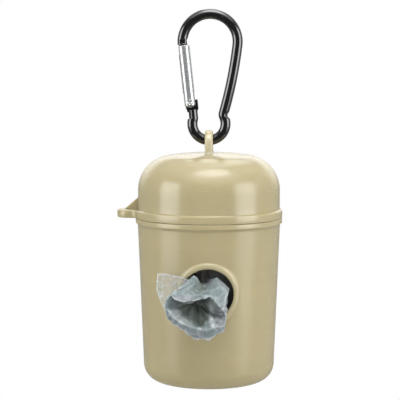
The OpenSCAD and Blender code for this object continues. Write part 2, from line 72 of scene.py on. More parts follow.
class Value:
    """A shader socket that is used in Python expressions."""

    __add__, __radd__ = operator("ADD"), operator("ADD", True)
    __sub__, __rsub__ = operator("SUBTRACT"), operator("SUBTRACT", True)
    __mul__, __rmul__ = operator("MULTIPLY"), operator("MULTIPLY", True)

    def __init__(self, shader: "Shader", socket: bpy.types.NodeSocket) -> None:
        """Wraps a socket of the shader's tree."""
        self.shader = shader
        self.socket = socket

    def math(self, operation: str, first: "Value | float", second: "Value | float" = 0.0) -> "Value":
        """The result of a Math node with the given operation and inputs."""
        return self.shader.add("ShaderNodeMath", {"operation": operation}, {0: first, 1: second})

    def ramp(self, low: float, high: float, start: float = 0.0, end: float = 1.0) -> "Value":
        """Runs smoothly from start to end while the value goes from low to high."""
        limits = {"Value": self, "From Min": low, "From Max": high, "To Min": start, "To Max": end}
        return self.shader.add("ShaderNodeMapRange", {"interpolation_type": "SMOOTHSTEP"}, limits)


class Shader:
    """Builds the node tree of one material or of the world."""

    def __init__(self, owner: bpy.types.Material | bpy.types.World) -> None:
        """Starts an empty tree on the owner."""
        owner.use_nodes = True
        self.tree = owner.node_tree
        self.tree.nodes.clear()

    def add(self, kind: str, settings: Settings | None = None, inputs: dict | None = None,
            output: int | str = 0) -> Value:
        """Adds one node.

        Args:
            kind: the node's type.
            settings: its properties, which are set first.
            inputs: values or links of its sockets, by name or number.
            output: which of its outputs is returned.

        Returns:
            The chosen output.
        """
        node = self.tree.nodes.new(kind)
        for name, setting in (settings or {}).items():
            setattr(node, name, setting)
        for name, given in (inputs or {}).items():
            socket = node.inputs[name]
            if isinstance(given, Value):
                self.tree.links.new(given.socket, socket)
            else:
                socket.default_value = (*given, 1.0) if socket.type == "RGBA" else given
        return Value(self, node.outputs[output])

    def place(self, scale: Triple = (1, 1, 1), turn: Triple = (0, 0, 0), attribute: str = "") -> Value:
        """Object coordinates, or a vertex attribute, turned and scaled."""
        if attribute:
            base = self.add("ShaderNodeAttribute", {"attribute_name": attribute}, output="Vector")
        else:
            base = self.add("ShaderNodeTexCoord", output="Object")
        return self.add("ShaderNodeMapping", {}, {"Vector": base, "Rotation": turn, "Scale": scale})

    def mask(self, name: str) -> Value:
        """A number that the mesh stores at its points."""
        return self.add("ShaderNodeAttribute", {"attribute_name": name}, output="Fac")

    def axes(self, vector: Value) -> list[Value]:
        """The three coordinates of a vector."""
        return [self.add("ShaderNodeSeparateXYZ", {}, {0: vector}, output=index) for index in range(3)]

    def grain(self, where: Value, scale: float, detail: float = 3.0, rough: float = 0.5) -> Value:
        """Noise of the given scale."""
        inputs = {"Vector": where, "Scale": scale, "Detail": detail, "Roughness": rough}
        return self.add("ShaderNodeTexNoise", {}, inputs)

    def cells(self, where: Value, scale: float) -> Value:
        """Distance to the nearest cell edge of a Voronoi pattern."""
        inputs = {"Vector": where, "Scale": scale}
        return self.add("ShaderNodeTexVoronoi", {"feature": "DISTANCE_TO_EDGE"}, inputs)

    def blend(self, factor: Value | float, first: Value | Triple, second: Value | Triple) -> Value:
        """Mixes two colours."""
        inputs = {"Factor": factor, 6: first, 7: second}
        return self.add("ShaderNodeMix", {"data_type": "RGBA"}, inputs, output=2)

    def bump(self, height: Value, strength: float, depth: float, below: Value | None = None) -> Value:
        """A Bump node; depth is in metres."""
        inputs: dict = {"Height": height, "Strength": strength, "Distance": depth}
        if below is not None:
            inputs["Normal"] = below
        return self.add("ShaderNodeBump", {}, inputs)

    def surface(self, **sockets: object) -> Value:
        """A Principled BSDF; underscores in the names stand for spaces."""
        named = {name.replace("_", " "): given for name, given in sockets.items()}
        return self.add("ShaderNodeBsdfPrincipled", {}, named)

    def output(self, result: Value, kind: str = "ShaderNodeOutputMaterial") -> None:
        """Links the result to the output."""
        self.tree.links.new(result.socket, self.tree.nodes.new(kind).inputs["Surface"])


# Finishes


class Finish:
    """A finish that is made into one material the first time that it is used."""

    label = "finish"

    def build(self, shader: Shader) -> Value:
        """Returns the surface shader."""
        raise NotImplementedError

    def material(self) -> bpy.types.Material:
        """The finish's material."""
        known = bpy.data.materials.get(self.label)
        if known:
            return known
        made = bpy.data.materials.new(self.label)
        shader = Shader(made)
        shader.output(self.build(shader))
        return made


@dataclass(frozen=True)
class GlossPlastic(Finish):
    """Glossy moulded plastic with faint flow marks, handling scratches, an orange-peel skin, and a painted
    glow where light shines through thin or raised parts.
    """

    label: str = "khaki_plastic"
    tone: Triple = (0.31, 0.268, 0.152)
    worn: Triple = (0.37, 0.33, 0.2)
    # Colour of the painted glow: the light that shines through thin plastic.
    lit_through: Triple = (0.4, 0.365, 0.25)
    rough: float = 0.2

    def build(self, shader: Shader) -> Value:
        """Returns the surface shader."""
        here = shader.place()
        cloud = shader.grain(here, 42.0, 4.0).ramp(0.3, 0.7)
        flow = shader.grain(shader.place((1.0, 1.0, 7.0)), 26.0, 3.0).ramp(0.35, 0.7)
        speck = shader.grain(here, 2600.0, 2.0).ramp(0.66, 0.72)
        darker = tuple(0.94 * c for c in self.tone)
        colour = shader.blend(cloud * 0.6 + flow * 0.4, darker, self.tone)
        colour = shader.blend(speck * 0.25, colour, self.worn)
        # Painted glow: the thin mask lifts the colour towards lit_through, painting light that comes through
        # thin parts and catches raised ones.
        colour = shader.blend(shader.mask("thin"), colour, self.lit_through)
        along = shader.place((30.0, 30.0, 900.0), (0.35, 0.2, 0.0))
        across = shader.place((700.0, 700.0, 26.0), (0.1, -0.45, 0.3))
        long_scratch = shader.grain(along, 3.0, 2.0).ramp(0.69, 0.73)
        cross_scratch = shader.grain(across, 3.0, 2.0).ramp(0.7, 0.74)
        handled = shader.grain(here, 95.0, 5.0, 0.6).ramp(0.4, 0.75)
        rough = self.rough + 0.07 * handled + 0.07 * long_scratch + 0.05 * cross_scratch
        wave = shader.bump(shader.grain(here, 55.0, 1.0), 0.5, 0.00012)
        peel = shader.bump(shader.grain(here, 1500.0, 2.0), 0.25, 0.00002, wave)
        return shader.surface(
            Base_Color=colour, Roughness=rough, IOR=1.5, Subsurface_Weight=0.35,
            Subsurface_Radius=(0.0028, 0.0022, 0.0012), Subsurface_Scale=1.0, Normal=peel,
        )


@dataclass(frozen=True)
class BlackAnodised(Finish):
    """Drawn rod, anodised black: gloss, with drawing lines along it and rubbed spots."""

    label: str = "black_anodised"
    tone: Triple = (0.005, 0.005, 0.0055)
    rubbed: Triple = (0.02, 0.02, 0.021)

    def build(self, shader: Shader) -> Value:
        """Returns the surface shader."""
        drawn = shader.grain(shader.place((60.0, 4200.0, 4200.0), attribute="flow"), 1.0, 2.0)
        rub = shader.grain(shader.place(), 260.0, 4.0, 0.6).ramp(0.58, 0.74)
        colour = shader.blend(rub * 0.5, self.tone, self.rubbed)
        rough = 0.1 + 0.07 * drawn + 0.1 * rub
        lines = shader.bump(drawn, 0.2, 0.00001)
        skin = shader.bump(shader.grain(shader.place(), 320.0, 2.0), 0.3, 0.00003, lines)
        return shader.surface(Base_Color=colour, Roughness=rough, IOR=1.78, Normal=skin)


@dataclass(frozen=True)
class TurnedAluminium(Finish):
    """Bright aluminium with lines along the tube and small nicks."""

    label: str = "turned_aluminium"
    tone: Triple = (0.39, 0.395, 0.402)
    hazy: Triple = (0.35, 0.355, 0.362)
    tilt: float = 6.2

    def build(self, shader: Shader) -> Value:
        """Returns the surface shader."""
        turn = (0.0, math.radians(self.tilt), 0.0)
        drawn = shader.grain(shader.place((3500.0, 3500.0, 45.0), turn), 1.0, 3.0)
        haze = shader.grain(shader.place(), 380.0, 4.0).ramp(0.4, 0.75)
        colour = shader.blend(haze * 0.5, self.tone, self.hazy)
        rough = 0.25 + 0.04 * drawn + 0.04 * haze
        lines = shader.bump(drawn, 0.05, 0.000001)
        return shader.surface(Base_Color=colour, Metallic=0.68, Roughness=rough, Normal=lines)


@dataclass(frozen=True)
class PlainSteel(Finish):
    """Plain steel of the pin, the spring and the rivet, a little dull."""

    label: str = "plain_steel"
    tone: Triple = (0.56, 0.565, 0.575)
    dulled: Triple = (0.46, 0.465, 0.48)

    def build(self, shader: Shader) -> Value:
        """Returns the surface shader."""
        here = shader.place()
        dull = shader.grain(here, 900.0, 4.0).ramp(0.35, 0.7)
        colour = shader.blend(dull, self.tone, self.dulled)
        pits = shader.bump(shader.grain(here, 2400.0, 3.0), 0.12, 0.00001)
        return shader.surface(Base_Color=colour, Metallic=0.85, Roughness=0.14 + 0.1 * dull, Normal=pits)


@dataclass(frozen=True)
class CrumpledFilm(Finish):
    """Thin grey-blue bag film: whitened creases with painted highlights and pools of light, painted shade in
    the hollow, fine wrinkles, light that comes through.
    """

    label: str = "crumpled_film"
    tone: Triple = (0.145, 0.185, 0.19)
    lilac: Triple = (0.19, 0.2, 0.222)
    # Colour of the painted shade inside the hollow.
    deep: Triple = (0.13, 0.153, 0.13)
    # Colour of the whitened creases and of the painted highlights and pools of light.
    crease_and_highlight: Triple = (0.56, 0.6, 0.6)
    cover: float = 1.0
    through: float = 0.18
    lit: Triple = (0.5, 0.56, 0.6)
    warp: float = 0.0035

    def build(self, shader: Shader) -> Value:
        """Returns the surface shader."""
        push = {0: shader.grain(shader.place(), 170.0, 3.0), 1: (self.warp,) * 3, 2: shader.place()}
        here = shader.add("ShaderNodeVectorMath", {"operation": "MULTIPLY_ADD"}, push)
        large = shader.cells(here, 210.0).ramp(0.0, 0.07, 1.0, 0.0)
        small = shader.cells(here, 620.0).ramp(0.0, 0.09, 1.0, 0.0)
        # The crease mask whitens creases and paints highlights and pools of light; the hollow mask paints the
        # shade of the hollow.
        fold, hollow = shader.mask("crease_and_highlight"), shader.mask("hollow")
        cloud = shader.grain(shader.place(), 120.0, 3.0).ramp(0.38, 0.64)
        colour = shader.blend(cloud, self.tone, self.lilac)
        colour = shader.blend(hollow, colour, self.deep)
        # Fine crinkle lines whiten less where the painted shade lies.
        colour = shader.blend((small * 0.1 + large * 0.2) * (1.0 - 0.8 * hollow), colour, self.crease_and_highlight)
        colour = shader.blend(fold, colour, self.crease_and_highlight)
        bumps = shader.bump(shader.cells(here, 330.0).ramp(0.0, 0.5), 0.5, 0.00025)
        fine = shader.bump(shader.cells(here, 900.0).ramp(0.0, 0.4), 0.4, 0.00007, bumps)
        rough = 0.3 + 0.16 * cloud
        alpha = self.cover if self.cover >= 1 else fold.ramp(0.0, 0.8, self.cover, 0.95) + 0.25 * large
        sheet = shader.surface(Base_Color=colour, Roughness=rough, IOR=1.5, Alpha=alpha, Normal=fine)
        lit = shader.add("ShaderNodeBsdfTranslucent", {}, {"Color": self.lit})
        return shader.add("ShaderNodeMixShader", {}, {0: self.through, 1: sheet, 2: lit})


@dataclass(frozen=True)
class WoundFilm(Finish):
    """The same film wound up on the roll, with soft lengthwise wrinkles."""

    label: str = "wound_film"
    tone: Triple = (0.15, 0.152, 0.145)

    def build(self, shader: Shader) -> Value:
        """Returns the surface shader."""
        wrinkle = shader.grain(shader.place((1.0, 1.0, 0.12)), 520.0, 3.0)
        cloud = shader.grain(shader.place(), 120.0, 3.0).ramp(0.3, 0.7)
        colour = shader.blend(cloud, tuple(0.8 * c for c in self.tone), self.tone)
        bumps = shader.bump(wrinkle, 0.5, 0.00025)
        return shader.surface(Base_Color=colour, Roughness=0.5 + 0.14 * cloud, IOR=1.4, Normal=bumps)


@dataclass(frozen=True)
class Cardboard(Finish):
    """Spirally wound brown board with fibres and the seam of its winding."""

    label: str = "tube_cardboard"
    tone: Triple = (0.33, 0.22, 0.12)
    blotched: Triple = (0.42, 0.3, 0.18)
    glued: Triple = (0.12, 0.075, 0.04)
    windings: float = 48.0

    def build(self, shader: Shader) -> Value:
        """Returns the surface shader."""
        fibre = shader.grain(shader.place((1.0, 1.0, 6.0)), 620.0, 4.0, 0.65)
        blotch = shader.grain(shader.place(), 90.0, 3.0).ramp(0.35, 0.7)
        colour = shader.blend(fibre.ramp(0.35, 0.7), tuple(0.72 * c for c in self.tone), self.tone)
        colour = shader.blend(blotch * 0.35, colour, self.blotched)
        x, y, z = shader.axes(shader.place())
        turn = x.math("ARCTAN2", y, x) * (1.0 / math.tau)
        seam = x.math("FRACT", turn + z * self.windings).ramp(0.0, 0.03, 1.0, 0.0)
        colour = shader.blend(seam * 0.7, colour, self.glued)
        bumps = shader.bump(fibre - seam, 0.5, 0.00008)
        return shader.surface(Base_Color=colour, Roughness=0.72 + 0.18 * fibre, IOR=1.4, Normal=bumps)


@dataclass(frozen=True)
class PaleFloor(Finish):
    """The plain pale floor under the hanging part."""

    label: str = "pale_floor"

    def build(self, shader: Shader) -> Value:
        """Returns the surface shader."""
        cloud = shader.grain(shader.place(), 9.0, 3.0)
        colour = shader.blend(cloud, (0.55, 0.55, 0.55), (0.58, 0.58, 0.58))
        lit = shader.surface(Base_Color=colour, Roughness=0.75, Specular_IOR_Level=0.0)
        pale = shader.add("ShaderNodeEmission", {}, {"Color": (1.0, 1.0, 1.0), "Strength": 1.0})
        away = shader.add("ShaderNodeVectorMath", {"operation": "LENGTH"}, {0: shader.place()}, "Value")
        seen = shader.add("ShaderNodeLightPath", output="Is Camera Ray") * away.ramp(0.2, 0.28, 0.62, 1.0)
        return shader.add("ShaderNodeMixShader", {}, {0: seen, 1: lit, 2: pale})


# Mesh building, in millimetres


def polar(centre: Pair, radius: float, angle: float) -> Pair:
    """The point at an angle, in degrees, on a circle."""
    turn = math.radians(angle)
    return (centre[0] + radius * math.cos(turn), centre[1] + radius * math.sin(turn))


def round_about(sides: int) -> list[float]:
    """Evenly spaced angles of a full turn."""
    return [math.tau * k / sides for k in range(sides)]


def smooth(low: float, high: float, value: float) -> float:
    """0 below low, 1 above high, and a smooth step between them."""
    t = min(1.0, max(0.0, (value - low) / (high - low)))
    return t * t * (3 - 2 * t)


def peak(value: float, centre: float, width: float) -> float:
    """A bell curve: 1 at the centre, and nearly 0 two widths away."""
    return math.exp(-((value - centre) / width) ** 2)


def arc(centre: Pair, radius: float, start: float, end: float, step: float) -> list[Pair]:
    """Points on an arc, both ends included, about step millimetres apart."""
    count = max(2, math.ceil(abs(math.radians(end - start)) * radius / step))
    return [polar(centre, radius, start + (end - start) * i / count) for i in range(count + 1)]


def rounded(corners: Sequence[Triple], pieces: int = 4) -> list[Pair]:
    """An outline with its corners rounded.

    Args:
        corners: points of the outline, each with the radius of its corner.
        pieces: how many pieces each round corner has.

    Returns:
        The points of the open outline.
    """
    points: list[Pair] = []
    for index, (x, z, radius) in enumerate(corners):
        if radius <= 0 or index in (0, len(corners) - 1):
            points.append((x, z))
            continue
        here = Vector((x, z))
        before = (Vector(corners[index - 1][:2]) - here)
        after = (Vector(corners[index + 1][:2]) - here)
        half = before.angle(after) / 2
        reach = min(radius / math.tan(half), before.length * 0.49, after.length * 0.49)
        start, end = here + before.normalized() * reach, here + after.normalized() * reach
        middle = here + (before.normalized() + after.normalized()).normalized() * (reach / math.cos(half))
        size, sweep = (start - middle).length, math.pi - 2 * half
        for k in range(pieces + 1):
            t = k / pieces
            spoke = (start - middle) * math.sin((1 - t) * sweep) + (end - middle) * math.sin(t * sweep)
            points.append(tuple(middle + spoke.normalized() * size) if spoke.length > 1e-9 else (x, z))
    return points


def spaced(points: Sequence[Pair], step: float = 2.5) -> list[Pair]:
    """The same outline with long sides split into pieces of about step millimetres."""
    result: list[Pair] = [points[0]]
    for a, b in zip(points, points[1:]):
        count = max(1, math.ceil(math.dist(a, b) / step))
        shares = [i / count for i in range(1, count + 1)]
        result += [(a[0] + (b[0] - a[0]) * t, a[1] + (b[1] - a[1]) * t) for t in shares]
    return result


class Shell:
    """Collects points in millimetres and faces, and makes one mesh object of them."""

    def __init__(self, name: str) -> None:
        """Starts an empty shell."""
        self.name = name
        self.points: list[Vector] = []
        self.faces: list[tuple[int, ...]] = []
        self.values: dict[str, dict[int, float | Vector]] = {}

    def ring(self, points: Sequence[Sequence[float]]) -> list[int]:
        """Adds points and returns their numbers."""
        first = len(self.points)
        self.points += [Vector(p) for p in points]
        return list(range(first, len(self.points)))

    def mark(self, name: str, indices: Sequence[int], values: Sequence[float | Vector]) -> None:
        """Stores a value for each of the points under a name, which becomes a vertex attribute."""
        self.values.setdefault(name, {}).update(zip(indices, values))

    def bridge(self, a: Sequence[int], b: Sequence[int], closed: bool = True) -> None:
        """Joins two rows of the same length with quads."""
        count = len(a)
        for i in range(count if closed else count - 1):
            j = (i + 1) % count
            self.faces.append((a[i], a[j], b[j], b[i]))

    def skin(self, rows: Sequence[Sequence[Sequence[float]]], closed: bool = True) -> list[list[int]]:
        """Adds rows of points, joins each to the next, and returns their numbers."""
        rings = [self.ring(row) for row in rows]
        for a, b in zip(rings, rings[1:]):
            self.bridge(a, b, closed)
        return rings

    def fan(self, ring: Sequence[int], pole: Sequence[float] | None = None) -> None:
        """Closes a ring with triangles to one point, by default to its middle."""
        if pole is None:
            pole = sum((self.points[i] for i in ring), Vector((0, 0, 0))) / len(ring)
        centre = self.ring([pole])[0]
        self.faces += [(ring[i], ring[(i + 1) % len(ring)], centre) for i in range(len(ring))]

    def lathe(self, profile: Sequence[Pair], sides: int) -> list[list[int]]:
        """Turns a profile of (radius, z) pairs round the Z axis; ends on the axis become poles.

        Returns:
            The rings, in the profile's order, without the poles.
        """
        turns = round_about(sides)
        rings = self.skin([[(radius * math.sin(t), -radius * math.cos(t), z) for t in turns]
                           for radius, z in profile if radius > 1e-6])
        for (radius, z), ring in ((profile[0], rings[0]), (profile[-1], rings[-1])):
            if radius <= 1e-6:
                self.fan(ring, (0, 0, z))
        return rings

    def slab(self, outline: Sequence[Pair], thick: float, edge: float,
             lay: Callable[[float, float, float], Sequence[float]]) -> None:
        """A plate with round edges.

        Args:
            outline: the closed outline, in its own plane.
            thick: the plate's thickness.
            edge: the radius of its round edges.
            lay: places (u, v, height over the middle) in space.
        """
        corners = [Vector(p) for p in outline]
        around = list(zip(corners[-1:] + corners[:-1], corners, corners[1:] + corners[:1]))
        way = 1.0 if sum(a.x * p.y - p.x * a.y for a, p, _ in around) > 0 else -1.0
        inward: list[Vector] = []
        for a, p, b in around:
            u, v = (p - a).normalized(), (b - p).normalized()
            normal = way * (Vector((-u.y, u.x)) + Vector((-v.y, v.x)))
            long = max(0.35, normal.length_squared / 2)
            inward.append(normal / long if normal.length > 1e-6 else Vector((0, 0)))
        bends = [math.radians(a) for a in (0, 22.5, 45, 67.5, 90)]
        levels = [(edge * (1 - math.sin(a)), thick / 2 - edge * (1 - math.cos(a))) for a in bends]
        levels += [(inset, -height) for inset, height in reversed(levels)]
        self.cap(self.skin([[lay(*(p + n * inset), height) for p, n in zip(corners, inward)]
                            for inset, height in levels]))

    def cap(self, rings: Rings) -> None:
        """Closes the first and the last ring with a flat face each."""
        self.faces += [tuple(rings[0]), tuple(reversed(rings[-1]))]

    def piece(self, finish: Finish, sharp: float = 34.0) -> bpy.types.Object:
        """Makes the object: doubles merged, faces outwards and smooth, edges over the sharp angle kept."""
        mesh = bpy.data.meshes.new(self.name)
        mesh.from_pydata([p * MM for p in self.points], [], self.faces)
        for name, given in self.values.items():
            vector = isinstance(next(iter(given.values())), Vector)
            layer = mesh.attributes.new(name, "FLOAT_VECTOR" if vector else "FLOAT", "POINT")
            for index, value in given.items():
                setattr(layer.data[index], "vector" if vector else "value", value)
        work = bmesh.new()
        work.from_mesh(mesh)
        bmesh.ops.remove_doubles(work, verts=work.verts, dist=1e-6)
        bmesh.ops.triangulate(work, faces=[f for f in work.faces if len(f.verts) > 4])
        bmesh.ops.recalc_face_normals(work, faces=work.faces)
        limit = math.radians(sharp)
        for face in work.faces:
            face.smooth = True
        for edge in work.edges:
            edge.smooth = len(edge.link_faces) < 2 or edge.calc_face_angle(0.0) < limit
        work.to_mesh(mesh)
        work.free()
        mesh.materials.append(finish.material())
        return stand(self.name, mesh)


def stand(name: str, data: bpy.types.ID) -> bpy.types.Object:
    """Puts an object of the data into the scene, under a name."""
    made = bpy.data.objects.new(name, data)
    bpy.context.scene.collection.objects.link(made)
    return made


class NodeTree:
    """A Geometry Nodes tree with named inputs, whose result becomes a plain mesh."""

    def __init__(self, name: str, inputs: Sequence[str]) -> None:
        """Starts the tree with its inputs, which are numbers."""
        self.name = name
        self.tree = bpy.data.node_groups.new(name, "GeometryNodeTree")
        self.identifiers: dict[str, str] = {}
        for label in inputs:
            socket = self.tree.interface.new_socket(name=label, in_out="INPUT", socket_type="NodeSocketFloat")
            self.identifiers[label] = socket.identifier
        self.tree.interface.new_socket(name="Geometry", in_out="OUTPUT", socket_type="NodeSocketGeometry")
        self.given = self.tree.nodes.new("NodeGroupInput")

    def add(self, kind: str, inputs: dict | None = None, **settings: object) -> bpy.types.NodeSocket:
        """Adds a node and returns its first output.

        Args:
            kind: the node's type.
            inputs: for each of its sockets a value, a socket, or one of the tree's inputs, named after a @.
            settings: its properties.

        Returns:
            The first output, or the input of a node that has none.
        """
        node = self.tree.nodes.new(kind)
        for name, setting in settings.items():
            setattr(node, name, setting)
        for name, value in (inputs or {}).items():
            if isinstance(value, str) and value.startswith("@"):
                value = self.given.outputs[value[1:]]
            if isinstance(value, bpy.types.NodeSocket):
                self.tree.links.new(value, node.inputs[name])
            else:
                node.inputs[name].default_value = value
        return node.outputs[0] if node.outputs else node.inputs[0]

    def piece(self, result: bpy.types.NodeSocket, finish: Finish, values: dict[str, float],
              place: Matrix) -> bpy.types.Object:
        """Runs the tree and returns its result as a plain mesh object.

        Args:
            result: the geometry that the tree ends in.
            finish: the finish of the piece.
            values: what the named inputs are set to.
            place: where the result goes in the part.

        Returns:
            The finished object, which sits at the origin.
        """
        whole = self.add("GeometryNodeRealizeInstances", {"Geometry": result})
        painted = self.add("GeometryNodeSetMaterial", {"Geometry": whole, "Material": finish.material()})
        self.add("NodeGroupOutput", {"Geometry": painted})
        carrier = stand(self.name + "_carrier", bpy.data.meshes.new(self.name + "_carrier"))
        modifier = carrier.modifiers.new(self.name, "NODES")
        modifier.node_group = self.tree
        for label, value in values.items():
            modifier[self.identifiers[label]] = value
        graph = bpy.context.evaluated_depsgraph_get()
        mesh = bpy.data.meshes.new_from_object(carrier.evaluated_get(graph))
        bpy.data.objects.remove(carrier)
        mesh.transform(place)
        mesh.name = self.name
        for face in mesh.polygons:
            face.use_smooth = True
        return stand(self.name, mesh)


def report(made: bpy.types.Object) -> None:
    """Logs a piece's name and size."""
    made.data.calc_loop_triangles()
    LOG.info("%s: %d triangles", made.name, len(made.data.loop_triangles))


# The snap hook


@dataclass(frozen=True)
class GateFrame:
    """The closed gate's own frame: its origin at the rivet, one axis to the inner side, one up the gate."""

    rivet: Pair = (-7.0404, -30.475)
    tilt: float = 6.2
    reach: float = 21.35

    @property
    def side(self) -> Vector:
        """Unit vector to the inner side, in the XZ plane."""
        return Vector(polar((0.0, 0.0), 1.0, self.tilt))

    @property
    def up(self) -> Vector:
        """Unit vector up along the gate, in the XZ plane."""
        return Vector((-self.side.y, self.side.x))

    def out(self, side: float, up: float, y: float = 0.0) -> Vector:
        """A point of the gate's frame in the part's frame."""
        flat = Vector(self.rivet) + side * self.side + up * self.up
        return Vector((flat.x, y, flat.y))

    def into(self, point: Vector) -> Vector:
        """A point of the part's frame as (side, y, up)."""
        flat = Vector((point.x, point.z)) - Vector(self.rivet)
        return Vector((flat.dot(self.side), point.y, flat.dot(self.up)))

    def matrix(self) -> Matrix:
        """Takes a mesh drawn in the gate's frame, in metres, into the part's."""
        turn = Matrix.Rotation(-math.radians(self.tilt), 4, "Y")
        return Matrix.Translation((self.rivet[0] * MM, 0, self.rivet[1] * MM)) @ turn


@dataclass
class Hook:
    """The snap hook: bent black rod with nose, tongue and lug, bright gate, rivet, plunger and spring."""

    gate: GateFrame
    rod_r: float = 1.875
    height: float = 50.0
    bow_r: float = 10.1
    bow_shift: float = 0.4
    bow_end: float = 18.0
    bend_r: float = 6.1
    waist_r: float = 2.3
    waist_angle: float = 24.0
    leg_r: float = 160.0
    neck_in: float = 0.6
    neck_drop: float = 2.8
    nose_half: float = 1.35
    nose_run: float = 12.0
    nose_press: float = 0.28
    nose_flare: Pair = (1.5, 1.4)
    creased: Pair = (-38.0, -31.0)
    crease_z: float = -35.45
    crease_depths: Pair = (0.62, 0.42)
    lug_r: float = 1.55
    lug_t: float = 1.5
    tongue_t: float = 1.6
    pin_r: float = 0.69
    head_r: float = 1.1
    head_seat: float = 1.86
    coil_r: float = 0.85
    wire_r: float = 0.15
    coil_ends: Pair = (5.3, 12.39)
    coil_turns: float = 8.0
    sides: int = 48

    def centreline(self) -> list[Pair]:
        """The rod's centreline, from past the nose round to the shoulder under the rivet."""
        gate, outer = self.gate, self.bend_r + self.waist_r
        bow = (self.bow_shift, self.rod_r - self.bow_r)
        bend = (0.0, 2 * self.rod_r - self.height + self.rod_r + self.bend_r)
        waist = Vector(polar(bend, outer, self.waist_angle))
        gap = Vector(bow) - waist
        a, b, d = self.leg_r + self.waist_r, self.leg_r - self.bow_r, gap.length
        along = (a * a - b * b + d * d) / (2 * d)
        u = gap / d
        leg = waist + along * u + math.sqrt(a * a - along * along) * Vector((-u.y, u.x))
        top = math.degrees(math.atan2(bow[1] - leg.y, bow[0] - leg.x))
        foot = math.degrees(math.atan2(waist.y - leg.y, waist.x - leg.x))
        across = (Vector(bend) - Vector(gate.rivet)).dot(gate.side) + self.waist_r - self.neck_in
        neck_angle = math.degrees(math.acos(across / outer)) - gate.tilt
        neck = polar(bend, outer, 180 - neck_angle)
        past_nose = 140
        path: list[Pair] = []
        for centre, radius, start, end, step in (
                (bow, self.bow_r, 180 + self.bow_end, past_nose, 0.12),
                (bow, self.bow_r, past_nose, top, 0.3), (leg, self.leg_r, top, foot, 0.5),
                (waist, self.waist_r, 180 + foot, 180 + self.waist_angle, 0.12),
                (bend, self.bend_r, 360 + self.waist_angle, 180 - neck_angle, 0.2),
                (neck, self.waist_r, -neck_angle, gate.tilt, 0.12)):
            path += arc(tuple(centre), radius, start, end, step)[1 if path else 0:]
        shoulder = gate.out(self.neck_in, -self.neck_drop)
        return path + spaced([path[-1], (shoulder.x, shoulder.z)], 0.2)[1:]

    def carve(self, point: Vector) -> Vector:
        """Cuts the nose's end square to the gate, cuts back its inner side and presses its two faces."""
        side, y, up = self.gate.into(point)
        above = max(0.0, up - self.gate.reach)
        start, run = self.nose_flare
        side = min(side, self.nose_half + max(0.0, (above - start) / run))
        limit = self.rod_r - self.nose_press * smooth(2.1, 1.8, above) * smooth(0.15, 0.3, above)
        return self.gate.out(side, self.gate.reach + above, max(-limit, min(limit, y)))

    def pinch(self, point: Vector, way: Vector) -> Vector:
        """Presses the two crease marks into the outer side of the legs, beside the small bend.

        Args:
            point: a point on the round rod.
            way: the unit direction from the rod's centre to it.

        Returns:
            The pressed point.
        """
        rise, (right, left) = point.z - self.crease_z, self.crease_depths
        if point.x > 0:
            depth = right * max(0.0, 1.0 - abs(rise) / (0.95 if rise < 0 else 1.5))
        else:
            depth = left * smooth(-1.1, -0.85, rise) * smooth(3.25, 2.05, rise)
        return point - way * depth * smooth(0.1, 0.75, math.copysign(1.0, point.x) * way.x)

    def rod(self) -> bpy.types.Object:
        """The rod with its lug and tongue, as one piece."""
        shell = Shell("hook_rod")
        path = self.centreline()
        rows: list[list[Vector]] = []
        flow: list[Vector] = []
        run = 0.0
        for i, (x, z) in enumerate(path):
            before, after = path[max(0, i - 1)], path[min(len(path) - 1, i + 1)]
            tangent = (Vector(after) - Vector(before)).normalized()
            run += math.dist(path[i], before)
            normal = Vector((-tangent.y, 0.0, tangent.x))
            row = []
            for turn in round_about(self.sides):
                way = math.cos(turn) * normal + math.sin(turn) * Vector((0, 1, 0))
                point = Vector((x, 0, z)) + self.rod_r * way
                if run < self.nose_run and x < 0:
                    point = self.carve(point)
                elif self.creased[0] < z < self.creased[1]:
                    point = self.pinch(point, way)
                row.append(point)
                flow.append(Vector((run, self.rod_r * math.cos(turn), self.rod_r * math.sin(turn))) * MM)
            rows.append(row)
        rings = shell.skin(rows)
        shell.mark("flow", range(len(flow)), flow)
        shell.fan(rings[0])
        shell.fan(rings[-1], self.gate.out(self.neck_in, -self.neck_drop))
        shell.slab(self.lug_outline(), self.lug_t, 0.14, self.gate.out)
        shell.slab(self.tongue_outline(), self.tongue_t, 0.16, self.gate.out)
        return shell.piece(BlackAnodised(), 30.0)

    def lug_outline(self) -> list[Pair]:
        """The flattened lug in the gate's fork, with the spur that stands past the gate."""
        half, drop = self.rod_r - 0.1, -self.neck_drop
        turned = [polar((0.0, 0.0), self.lug_r, 90 - a) for a in range(-90, 61, 6)]
        spur = [(2.5, 0.8), (2.72, 0.88), (2.9, 0.72), (2.95, 0.45), (2.95, drop + 0.2)]
        start = [(self.neck_in - half, drop - 0.8), (-self.lug_r - 0.2, drop * 0.55)]
        return start + turned + spur + [(self.neck_in + half, drop - 0.8)]

    def tongue_outline(self) -> list[Pair]:
        """The thin tongue under the nose, which the closed gate's slot takes."""
        left, right = 0.15 - self.rod_r, self.nose_half
        outline = [(left, 0.8), (left, -2.0), (left + 0.2, -2.4), (left + 0.55, -2.6),
                   (right - 0.5, -2.6), (right - 0.15, -2.4), (right, -2.0), (right, 0.8)]
        return [(side, self.gate.reach + up) for side, up in outline]

